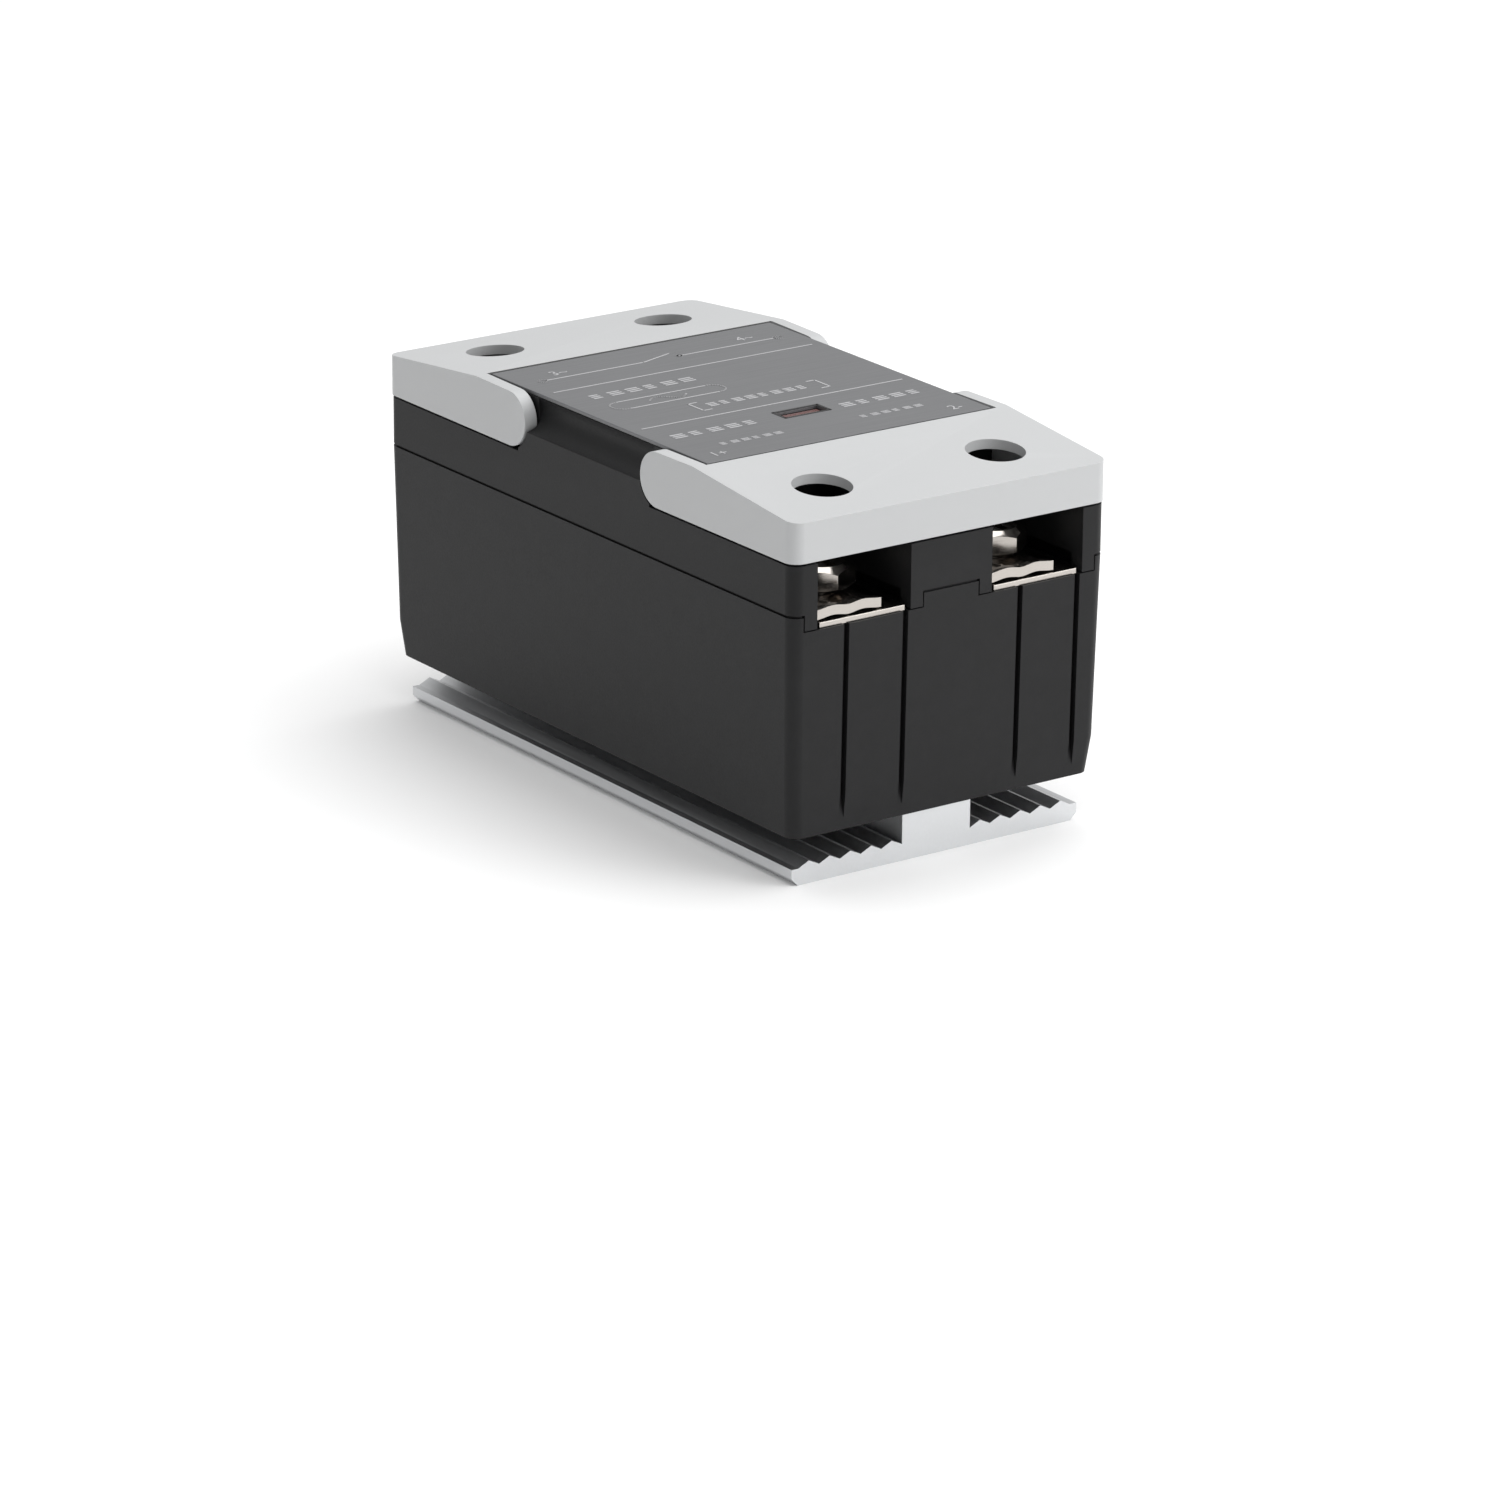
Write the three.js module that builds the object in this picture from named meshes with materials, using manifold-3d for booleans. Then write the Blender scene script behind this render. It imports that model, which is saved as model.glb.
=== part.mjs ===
// Solid state relay: a two-part black housing on a ridged aluminium base, with two flip-up grey
// terminal covers, four screw terminals, a label plate and the control electronics inside.
// Millimetres, +Z up. X runs across the relay, Y along it, and -Y is the control (front) end.
// The origin is under the centre of the aluminium base.
import * as THREE from "three";
import { mergeVertices } from "three/addons/utils/BufferGeometryUtils.js";
import Module from "manifold-3d";

const wasm = await Module();
wasm.setup();

// ---------------------------------------------------------------- driving dimensions

// Overall
const WIDTH = 45;
const LENGTH = 84.34;
const CORNER_R = 1.7;
const FIT_GAP = 0.3;
const SLIP_GAP = 0.15;
const ROOT = 0.5;
// A six-sided bar's first corner is this many degrees from +X.
const PRISM_START = 30;

// Aluminium base: a plate with small ridges along it and a web up the middle
const PLATE_T = 2.05;
const PLATE_CHAMFER = 0.9;
const WEB_RISE = 4.1;
const WEB_HALF_W = 4.9;
const RIDGE_PITCH = 2.95;
const RIDGE_H = 0.7;
const BASE_SIDE_INSET = 1.9;
const BASE_END_INSET = 2.27;
const BASE_SCREW_SETBACK = 0.94;

// Lower housing
const LOWER_H = 27.05;
const HOUSING_INSET = 0.12;
const DRAFT = 0.4;
const FOOT_H = 4.5;
const FOOT_CHAMFER = 0.5;
const WALL = 2;
const SEAM_GROOVE = 0.3;
const SEAM_DIP = 2.05;
const LEDGE_T = 6.4;
const FLUTE_W = 0.75;
const FLUTE_DEPTH = 0.9;
const FLUTE_FOOT = 1.5;
const FLUTE_OFFSETS = [-2.4, 5.9];
const CLOSING_PLATE_T = 2;
const CLOSING_PLATE_RIM = 2;

// Upper housing
const BAND_H = 5.85;
const COVER_REACH = 19.71;
const TRANSVERSE_SETBACK = 1.6;
const TRANSVERSE_T = 1.8;
const SHOULDER_RISE = 4;
const ROOF_T = 1.5;
const LABEL_T = 0.5;
const LABEL_EDGE_GAP = 0.15;
const FLANK_HOLLOW_R = 2.6;
const FLANK_HOLLOW_DEPTH = 0.4;
const RIB_HALF_W = 2.6;
const RIB_H = 2.6;

// Terminal covers
const COVER_H = 6.8;
const COVER_END_H = 4.85;
const COVER_T = 1.2;
const SKIRT_T = 1.7;
const EAR_R = 3.35;
const HINGE_SETBACK = 7.16;
const HINGE_PIN_R = 1.5;
const HINGE_PIN_REACH = 0.8;
const EDGE_UNDERCUT = 0.75;
const DRIVER_HOLE_R = 3.55;

// Terminals
const TERMINAL_SIDE_INSET = 10.15;
const TERMINAL_END_INSET = 8.47;
const WINDOW_HALF_W = 6.55;
const JAMB_W = 1.75;
const TAB_SIDE_GAP = 0.55;
const TAB_T = 0.7;
const TAB_SETBACK = 0.35;
const LEG_HALF_W = 2.5;
const LEG_OFFSET = -1.5;
const CLAMP_HALF_W = 4.6;
const CLAMP_SIDE_GAP = 0.35;
const CLAMP_SETBACK = 0.5;
const CLAMP_BACK = 5.4;
const CLAMP_T = 0.55;
const CLAMP_LIP_H = 0.6;
const CLAMP_LIP_W = 1;
const CLAMP_WAVE = 0.26;
const SCREW_R = 2;
const SCREW_LENGTH = 12;
const SCREW_HEAD_R = 4;
const SCREW_HEAD_H = 3.15;
const SCREW_CHAMFER = 0.75;
const SCREW_TURNS = { front_left: 22, front_right: 34, rear_left: 47, rear_right: 8 };
const RECESS_W = 1;
const RECESS_SPAN = 4.6;
const RECESS_DEPTH = 1.7;
const NUT_HALF = 3.5;
const NUT_H = 3.2;

// Indicator window
const LAMP_X = 0.95;
const LAMP_SETBACK = 11.26;
const LAMP_HALF_W = 3.05;
const LAMP_HALF_L = 1.15;
const LAMP_RECESS = 0.4;
const LED_R = 2.5;
const LED_H = 8.6;
const LED_RIM = 0.4;

// Housing screws and their corner columns
const COLUMN_R = 3.2;
const COLUMN_INSET = 2.6;
const HOUSING_SCREW_R = 1.45;
const HOUSING_SCREW_HEAD_R = 2.6;
const HOUSING_SCREW_HEAD_H = 2.1;
const HOUSING_SCREW_GRIP = 8.5;
const HOUSING_SCREW_BITE = 4;

// Base screws
const BASE_SCREW_R = 1.5;
const BASE_SCREW_HEAD_R = 2.75;
const BASE_SCREW_HEAD_H = 1.7;
const BASE_SCREW_SINK = 0.8;
const SLOT_W = 0.8;
const SLOT_DEPTH = 0.9;
const HEAD_EDGE = 0.7;

// Electronics
const BOARD_H = 18;
const BOARD_T = 1.6;
const BOARD_REST = 2.2;
const SUBSTRATE_T = 0.9;
const SUBSTRATE_END_GAP = 4;
const FOOT_REACH = 6;
const THYRISTOR_HALF = 4.5;
const THYRISTOR_GAP = 4.2;
const THYRISTOR_H = 2.3;
const GATE_PIN_R = 0.5;
const GATE_PIN_X = 3;
const PIN_ROW_SHARE = 0.2;
const VARISTOR_R = 5;
const VARISTOR_T = 3.8;
const CAPACITOR_SIZE = [13, 6, 10];
const COUPLER_SIZE = [8.8, 6.4, 3.4];
const RESISTOR_R = 1.15;
const RESISTOR_LENGTH = 6.3;
const TRANSISTOR_R = 2.4;
const TRANSISTOR_H = 4.8;
const LEAD_HALF_W = 0.3;
const STAND_OFF = 0.5;
const LEAD_PITCH = 2.54;

// ---------------------------------------------------------------- derived levels and places

const halfW = WIDTH / 2;
const halfL = LENGTH / 2;
const wallX = halfW - HOUSING_INSET;
const wallY = halfL - HOUSING_INSET;
const wallR = CORNER_R - HOUSING_INSET;

const housingZ = PLATE_T + WEB_RISE;
const closingTopZ = housingZ + CLOSING_PLATE_T;
const seamZ = housingZ + LOWER_H;
const ledgeZ = seamZ - SEAM_DIP;
const ledgeUnderZ = ledgeZ - LEDGE_T;
const bandTopZ = seamZ + BAND_H;
const coverZ = bandTopZ + FIT_GAP;
const topZ = coverZ + COVER_H;
const coverEndZ = coverZ + COVER_END_H;
const shoulderZ = bandTopZ + SHOULDER_RISE;
const labelZ = topZ - LABEL_T;
const roofZ = labelZ - ROOF_T;

const blockX = halfW - SKIRT_T - FIT_GAP;
const blockY = halfL - COVER_REACH;
const hingeY = blockY - HINGE_SETBACK;
const hingeZ = coverZ + EAR_R;
const shoulderY = hingeY - EAR_R / 2;

const cavityX = wallX - DRAFT - WALL;
const closingX = cavityX + CLOSING_PLATE_RIM / 2;
const closingY = wallY - DRAFT - CLOSING_PLATE_RIM;
const cavityY = blockY + TRANSVERSE_SETBACK;
const bayY = cavityY + TRANSVERSE_T;
const baseScrewY = cavityY + BASE_SCREW_SETBACK;
const terminalX = halfW - TERMINAL_SIDE_INSET;
const terminalY = halfL - TERMINAL_END_INSET;
const notchHalfW = WINDOW_HALF_W + JAMB_W + SLIP_GAP;
const tabHalfW = WINDOW_HALF_W - TAB_SIDE_GAP;
const clampX = CLAMP_HALF_W + CLAMP_SIDE_GAP - WINDOW_HALF_W;
const tabTopZ = ledgeZ + TAB_T;
const clampZ = tabTopZ + SLIP_GAP;
const tabTipY = -(wallY - TAB_SETBACK - terminalY);
const headZ = clampZ + CLAMP_WAVE + CLAMP_T + SLIP_GAP;
const legY = cavityY - FIT_GAP - 1;

const columnX = cavityX - COLUMN_INSET;
const columnY = cavityY - COLUMN_INSET;
const substrateTopZ = closingTopZ + SUBSTRATE_T;
const boardZ = closingTopZ + BOARD_H;
const boardTopZ = boardZ + BOARD_T;
const boardX = cavityX - FIT_GAP;
const boardY = columnY - COLUMN_R - FIT_GAP;
const lampY = -blockY + LAMP_SETBACK;

const SIDES = [["left", -1], ["right", 1]];
const ENDS = [["front", 1], ["rear", -1]];

// ---------------------------------------------------------------- materials

const finish = (color, roughness, metalness) =>
  new THREE.MeshStandardMaterial({ color, roughness, metalness });
const BLACK_PLASTIC = finish(0x2c2c2d, 0.5, 0);
const GREY_PLASTIC = finish(0xd6d8d9, 0.45, 0);
const LABEL_GREY = finish(0x707275, 0.4, 0.3);
const ALUMINIUM = finish(0xb4b7ba, 0.35, 1);
const NICKEL = finish(0xcdc6bb, 0.25, 1);
const ZINC_STEEL = finish(0xb9bcbf, 0.35, 1);
const COPPER = finish(0xb87a4b, 0.35, 1);
const ANODISED_BLACK = finish(0x222326, 0.45, 0.7);
const CERAMIC = finish(0xe9e7e0, 0.6, 0);
const BOARD_GREEN = finish(0x1f5a3a, 0.5, 0);
const EPOXY_BLACK = finish(0x18181a, 0.45, 0);
const VARISTOR_BLUE = finish(0x27599d, 0.4, 0);
const FILM_YELLOW = finish(0xc9a73c, 0.4, 0);
const RESISTOR_TAN = finish(0xcbb38a, 0.5, 0);
const LED_RED = finish(0xc8372f, 0.2, 0);
const CLEAR_PINK = finish(0xd9b3ac, 0.15, 0);

// ---------------------------------------------------------------- solids

// A closed geometry as a solid that can be joined and cut.
function solid(geometry) {
  const bare = geometry.index ? geometry.toNonIndexed() : geometry.clone();
  bare.deleteAttribute("normal");
  bare.deleteAttribute("uv");
  const merged = mergeVertices(bare, 1e-4);
  const corners = [];
  for (let i = 0; i < merged.index.count; i += 3) {
    const [a, b, c] = [0, 1, 2].map((k) => merged.index.getX(i + k));
    if (a !== b && b !== c && c !== a) corners.push(a, b, c);
  }
  return new wasm.Manifold(
    new wasm.Mesh({
      numProp: 3,
      vertProperties: new Float32Array(merged.attributes.position.array),
      triVerts: new Uint32Array(corners),
    }),
  );
}

function geometryOf(shape) {
  const mesh = shape.getMesh();
  const geometry = new THREE.BufferGeometry();
  geometry.setAttribute("position", new THREE.BufferAttribute(mesh.vertProperties, 3));
  geometry.setIndex(new THREE.BufferAttribute(mesh.triVerts, 1));
  const flat = geometry.toNonIndexed();
  flat.computeVertexNormals();
  return flat;
}

const union = (shapes) => shapes.reduce((a, b) => a.add(b));
const cut = (shape, tools) => tools.reduce((a, b) => a.subtract(b), shape);

function box([x0, x1], [y0, y1], [z0, z1]) {
  const geometry = new THREE.BoxGeometry(x1 - x0, y1 - y0, z1 - z0);
  return solid(geometry.translate((x0 + x1) / 2, (y0 + y1) / 2, (z0 + z1) / 2));
}

// The same box on one side only: u runs outwards from the middle, whichever sign the side has.
const span = (sign, near, far) => (sign > 0 ? [near, far] : [-far, -near]);

// A round bar along X, Y or Z, from one end to the other.
function bar(radius, axis, [from, to], centre, segments = 24) {
  const geometry = new THREE.CylinderGeometry(radius, radius, to - from, segments);
  const middle = (from + to) / 2;
  if (axis === "x") geometry.rotateZ(-Math.PI / 2).translate(middle, centre[0], centre[1]);
  if (axis === "y") geometry.translate(centre[0], middle, centre[1]);
  if (axis === "z") geometry.rotateX(Math.PI / 2).translate(centre[0], centre[1], middle);
  return solid(geometry);
}

function extruded(shape, depth, curveSegments = 5) {
  return new THREE.ExtrudeGeometry(shape, { depth, curveSegments, bevelEnabled: false });
}

// An outline in (y, z), swept along X.
function slabX(shape, [x0, x1], curveSegments) {
  const axes = new THREE.Matrix4().makeBasis(
    new THREE.Vector3(0, 1, 0),
    new THREE.Vector3(0, 0, 1),
    new THREE.Vector3(1, 0, 0),
  );
  return solid(extruded(shape, x1 - x0, curveSegments).applyMatrix4(axes).translate(x0, 0, 0));
}

// An outline in (x, z), swept along Y.
function slabY(shape, [y0, y1], curveSegments) {
  return solid(extruded(shape, y1 - y0, curveSegments).rotateX(Math.PI / 2).translate(0, y1, 0));
}

const outline = (points) => new THREE.Shape(points.map(([u, v]) => new THREE.Vector2(u, v)));

function roundedRectangle(halfX, halfY, radius) {
  const shape = new THREE.Shape();
  const insetX = halfX - radius;
  const insetY = halfY - radius;
  shape.moveTo(halfX, -insetY);
  shape.absarc(insetX, insetY, radius, 0, Math.PI / 2);
  shape.absarc(-insetX, insetY, radius, Math.PI / 2, Math.PI);
  shape.absarc(-insetX, -insetY, radius, Math.PI, Math.PI * 1.5);
  shape.absarc(insetX, -insetY, radius, Math.PI * 1.5, Math.PI * 2);
  return shape;
}

// An upright rounded block whose top is drawn in by topInset and whose foot by footInset.
function taperedBlock([halfX, halfY, radius], [z0, z1], footInset, topInset) {
  const geometry = extruded(roundedRectangle(halfX, halfY, radius), z1 - z0).translate(0, 0, z0);
  const position = geometry.getAttribute("position");
  const middle = (z0 + z1) / 2;
  for (let i = 0; i < position.count; i++) {
    const inset = position.getZ(i) < middle ? footInset : topInset;
    position.setX(i, position.getX(i) * (1 - inset / halfX));
    position.setY(i, position.getY(i) * (1 - inset / halfY));
  }
  return solid(geometry);
}

function turned(profile, segments = 24) {
  const points = profile.map(([r, z]) => new THREE.Vector2(r, z));
  return solid(new THREE.LatheGeometry(points, segments).rotateX(Math.PI / 2));
}

// ---------------------------------------------------------------- aluminium base

function heatSinkBase() {
  const edgeX = halfW - BASE_SIDE_INSET;
  const edgeY = halfL - BASE_END_INSET;
  const ridges = Math.floor((edgeX - WEB_HALF_W) / RIDGE_PITCH);
  const flank = [[WEB_HALF_W, housingZ], [WEB_HALF_W, PLATE_T]];
  for (let i = 0; i < ridges; i++) {
    const valley = WEB_HALF_W + i * RIDGE_PITCH;
    flank.push([valley + RIDGE_PITCH / 2, PLATE_T + RIDGE_H]);
    flank.push([valley + RIDGE_PITCH, PLATE_T]);
  }
  flank.push([edgeX, PLATE_T], [edgeX, PLATE_CHAMFER], [edgeX - PLATE_CHAMFER, 0]);
  const mirrored = flank.map(([x, z]) => [-x, z]).reverse();
  const section = outline([...mirrored, ...flank].reverse());
  const extrusion = slabY(section, [-edgeY, edgeY]);
  const headRoom = BASE_SCREW_SINK + BASE_SCREW_HEAD_H + FIT_GAP;
  const holes = [-1, 1].flatMap((end) => [
    bar(BASE_SCREW_R + FIT_GAP, "z", [-1, housingZ + 1], [0, end * baseScrewY], 20),
    bar(BASE_SCREW_HEAD_R + FIT_GAP, "z", [-1, headRoom], [0, end * baseScrewY], 20),
  ]);
  return cut(extrusion, holes);
}

// Closes the housing's underside, and carries the ceramic substrate.
function closingPlate() {
  const plate = box(
    [-closingX + SLIP_GAP, closingX - SLIP_GAP],
    [-closingY + SLIP_GAP, closingY - SLIP_GAP],
    [housingZ, closingTopZ],
  );
  const holes = [-1, 1].map((end) =>
    bar(BASE_SCREW_R + SLIP_GAP, "z", [housingZ - 1, closingTopZ + 1], [0, end * baseScrewY], 20),
  );
  return cut(plate, holes);
}

function baseScrew() {
  const headTop = BASE_SCREW_SINK + BASE_SCREW_HEAD_H;
  const blank = turned([
    [0, BASE_SCREW_SINK],
    [BASE_SCREW_HEAD_R - HEAD_EDGE, BASE_SCREW_SINK],
    [BASE_SCREW_HEAD_R, BASE_SCREW_SINK + HEAD_EDGE],
    [BASE_SCREW_HEAD_R, headTop],
    [BASE_SCREW_R, headTop],
    [BASE_SCREW_R, closingTopZ - FIT_GAP],
    [0, closingTopZ - FIT_GAP],
  ], 20);
  const depth = [BASE_SCREW_SINK - 1, BASE_SCREW_SINK + SLOT_DEPTH];
  return cut(blank, crossRecess(BASE_SCREW_HEAD_R - HEAD_EDGE, SLOT_W, depth));
}

// The two crossed slots of a screw head's driver recess.
function crossRecess(half, width, depth) {
  return [
    box([-half, half], [-width / 2, width / 2], depth),
    box([-width / 2, width / 2], [-half, half], depth),
  ];
}

// ---------------------------------------------------------------- lower housing

// A flute down the end wall. It follows the wall's draft, and runs out on the chamfered foot.
function flute(x) {
  const foot = FOOT_CHAMFER * (1 - FLUTE_FOOT / FOOT_H);
  const wedge = outline([
    [-wallY - 1, ledgeZ + 1],
    [-wallY - 1, housingZ + FLUTE_FOOT],
    [-wallY + DRAFT + foot, housingZ + FLUTE_FOOT],
    [-wallY + DRAFT + FLUTE_DEPTH, housingZ + FOOT_H],
    [-wallY + FLUTE_DEPTH, ledgeZ + 1],
  ].reverse());
  return slabX(wedge, [x - FLUTE_W / 2, x + FLUTE_W / 2]);
}

function lowerHousing() {
  const plan = [wallX, wallY, wallR];
  const footZ = housingZ + FOOT_H;
  const shell = union([
    taperedBlock(plan, [housingZ, footZ], DRAFT + FOOT_CHAMFER, DRAFT),
    taperedBlock(plan, [footZ, seamZ - SEAM_GROOVE], DRAFT, 0),
    taperedBlock(plan, [seamZ - SEAM_GROOVE, seamZ], SEAM_GROOVE, SEAM_GROOVE),
  ]);
  const hollows = [
    box([-cavityX, cavityX], [-cavityY, cavityY], [closingTopZ - 1, seamZ + 1]),
    box([-closingX, closingX], [-closingY, closingY], [housingZ - 1, closingTopZ]),
  ];
  const seats = [];
  for (const [, end] of ENDS) {
    const endSpan = (near, far) => span(-end, near, far);
    const underBay = endSpan(bayY, wallY - DRAFT - WALL);
    hollows.push(box([-cavityX, cavityX], underBay, [closingTopZ - 1, ledgeUnderZ]));
    for (const [, side] of SIDES) {
      const x = side * terminalX;
      const y = -end * terminalY;
      const notchX = [x - notchHalfW, x + notchHalfW];
      seats.push(box(notchX, endSpan(cavityY - SLIP_GAP, halfL + 1), [ledgeZ, seamZ + 1]));
      seats.push(nutPocket(x, y));
      seats.push(bar(SCREW_R + FIT_GAP, "z", [ledgeUnderZ - 1, ledgeZ], [x, y], 20));
    }
  }
  const flutes = SIDES.flatMap(([, side]) =>
    FLUTE_OFFSETS.map((offset) => flute(side * terminalX + offset)),
  );
  const bothEnds = flutes.flatMap((tool) => [tool, tool.rotate([0, 0, 180])]);
  const tray = union([cut(shell, hollows), ...columns(), ...boardRests()]);
  return cut(tray, [...seats, ...bothEnds, ...screwBores()]);
}

function nutPocket(x, y) {
  const half = NUT_HALF + SLIP_GAP;
  const floorZ = ledgeZ - NUT_H - 2 * SLIP_GAP;
  return box([x - half, x + half], [y - half, y + half], [floorZ, ledgeZ + 1]);
}

const corners = () =>
  SIDES.flatMap(([, side]) => ENDS.map(([, end]) => [side * columnX, -end * columnY]));

function columns() {
  return corners().map((at) => bar(COLUMN_R, "z", [closingTopZ, seamZ], at, 24));
}

function screwBores() {
  const headZ0 = seamZ - HOUSING_SCREW_GRIP;
  return corners().flatMap((at) => [
    bar(HOUSING_SCREW_R + FIT_GAP, "z", [closingTopZ - 1, seamZ + 1], at, 20),
    bar(HOUSING_SCREW_HEAD_R + SLIP_GAP, "z", [closingTopZ - 1, headZ0], at, 20),
  ]);
}

// Ribs up the side walls that carry the control board.
function boardRests() {
  return SIDES.flatMap(([, side]) =>
    [-1, 1].map((end) => {
      const y = end * boardY * 0.5;
      const reach = span(side, cavityX - BOARD_REST, cavityX + ROOT);
      return box(reach, [y - 1, y + 1], [closingTopZ, boardZ]);
    }),
  );
}

function housingScrew() {
  const headTop = seamZ - HOUSING_SCREW_GRIP - SLIP_GAP;
  const headFoot = headTop - HOUSING_SCREW_HEAD_H;
  const blank = turned([
    [0, headFoot],
    [HOUSING_SCREW_HEAD_R - HEAD_EDGE, headFoot],
    [HOUSING_SCREW_HEAD_R, headFoot + HEAD_EDGE],
    [HOUSING_SCREW_HEAD_R, headTop],
    [HOUSING_SCREW_R, headTop],
    [HOUSING_SCREW_R, seamZ + HOUSING_SCREW_BITE - 1],
    [0.4, seamZ + HOUSING_SCREW_BITE],
    [0, seamZ + HOUSING_SCREW_BITE],
  ], 16);
  const depth = [headFoot - 1, headFoot + SLOT_DEPTH];
  return cut(blank, crossRecess(HOUSING_SCREW_HEAD_R - HEAD_EDGE, SLOT_W, depth));
}

// ---------------------------------------------------------------- upper housing

function upperHousing() {
  const body = [
    taperedBlock([wallX, wallY, wallR], [seamZ, bandTopZ], 0, 0),
    box([-blockX, blockX], [-blockY, blockY], [seamZ, labelZ]),
    box([-wallX, wallX], [-shoulderY, shoulderY], [seamZ, shoulderZ]),
  ];
  const tools = [
    box([-cavityX, cavityX], [-cavityY, cavityY], [seamZ - 1, bandTopZ - ROOF_T]),
    box([-blockX + WALL, blockX - WALL], [-blockY + WALL, blockY - WALL], [seamZ - 1, roofZ]),
    lampSlot(LAMP_HALF_W, LAMP_HALF_L),
  ];
  const added = [];
  for (const [, side] of SIDES) {
    const hollowX = side * (blockX + FLANK_HOLLOW_R - FLANK_HOLLOW_DEPTH);
    const hollowZ = (shoulderZ + labelZ) / 2;
    const hollowEnd = hingeY - EAR_R;
    tools.push(bar(FLANK_HOLLOW_R, "y", [-hollowEnd, hollowEnd], [hollowX, hollowZ], 40));
    for (const [, end] of ENDS) {
      const y = -end * hingeY;
      tools.push(bar(EAR_R + FIT_GAP, "x", span(side, blockX, halfW + 1), [y, hingeZ], 40));
      const pinSpan = span(side, blockX - ROOT, blockX + FIT_GAP + HINGE_PIN_REACH);
      added.push(bar(HINGE_PIN_R, "x", pinSpan, [y, hingeZ]));
    }
  }
  for (const [, end] of ENDS) {
    const endSpan = (near, far) => span(-end, near, far);
    const coreX = terminalX - notchHalfW;
    const coreSpan = endSpan(bayY + WALL, wallY - WALL);
    const ribSpan = endSpan(blockY - 1, wallY - WALL);
    tools.push(box([-coreX, coreX], coreSpan, [seamZ - 1, bandTopZ - ROOF_T]));
    added.push(box([-RIB_HALF_W, RIB_HALF_W], ribSpan, [bandTopZ - 1, bandTopZ + RIB_H]));
    for (const [, side] of SIDES) {
      const x = side * terminalX;
      const windowX = [x - WINDOW_HALF_W, x + WINDOW_HALF_W];
      tools.push(box(windowX, endSpan(bayY, halfL + 1), [seamZ - 1, bandTopZ + 1]));
      added.push(...windowJambs(x, endSpan));
    }
  }
  const bosses = corners().map((at) => bar(COLUMN_R, "z", [seamZ, roofZ + ROOT], at, 24));
  const pilots = corners().map((at) =>
    bar(HOUSING_SCREW_R + FIT_GAP, "z", [seamZ - 1, seamZ + HOUSING_SCREW_BITE + FIT_GAP], at, 20),
  );
  const bossLimit = box([-blockX + ROOT, blockX - ROOT], [-blockY + ROOT, blockY - ROOT], [seamZ, labelZ]);
  const lowLimit = box([-wallX + 1, wallX - 1], [-bayY + ROOT, bayY - ROOT], [seamZ, bandTopZ]);
  const trimmed = bosses.map((boss) => boss.intersect(bossLimit.add(lowLimit)));
  return cut(union([cut(union(body), tools), ...added, ...trimmed]), pilots);
}

// Short legs beside each window that drop into the lower housing, and the wall over the tab.
function windowJambs(x, endSpan) {
  const foot = ledgeZ + SLIP_GAP;
  const outer = WINDOW_HALF_W + JAMB_W;
  const wall = endSpan(wallY - WALL, wallY);
  const overTab = endSpan(cavityY, bayY);
  return [
    box([x - outer, x - WINDOW_HALF_W], wall, [foot, seamZ + ROOT]),
    box([x + WINDOW_HALF_W, x + outer], wall, [foot, seamZ + ROOT]),
    box([x - WINDOW_HALF_W - ROOT, x + WINDOW_HALF_W + ROOT], overTab, [tabTopZ + FIT_GAP, seamZ + ROOT]),
  ];
}

const lampSlot = (half, halfDeep) =>
  box([LAMP_X - half, LAMP_X + half], [lampY - halfDeep, lampY + halfDeep], [roofZ - 1, topZ + 1]);

function labelPlate() {
  const halfX = blockX - LABEL_EDGE_GAP;
  const halfY = blockY - LABEL_EDGE_GAP;
  return box([-halfX, halfX], [-halfY, halfY], [labelZ, topZ]).subtract(lampSlot(LAMP_HALF_W, LAMP_HALF_L));
}

function lightPipe() {
  const half = LAMP_HALF_W - SLIP_GAP;
  const deep = LAMP_HALF_L - SLIP_GAP;
  return box(
    [LAMP_X - half, LAMP_X + half],
    [lampY - deep, lampY + deep],
    [boardTopZ + LED_H + FIT_GAP, topZ - LAMP_RECESS],
  );
}

// ---------------------------------------------------------------- terminal covers

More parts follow.
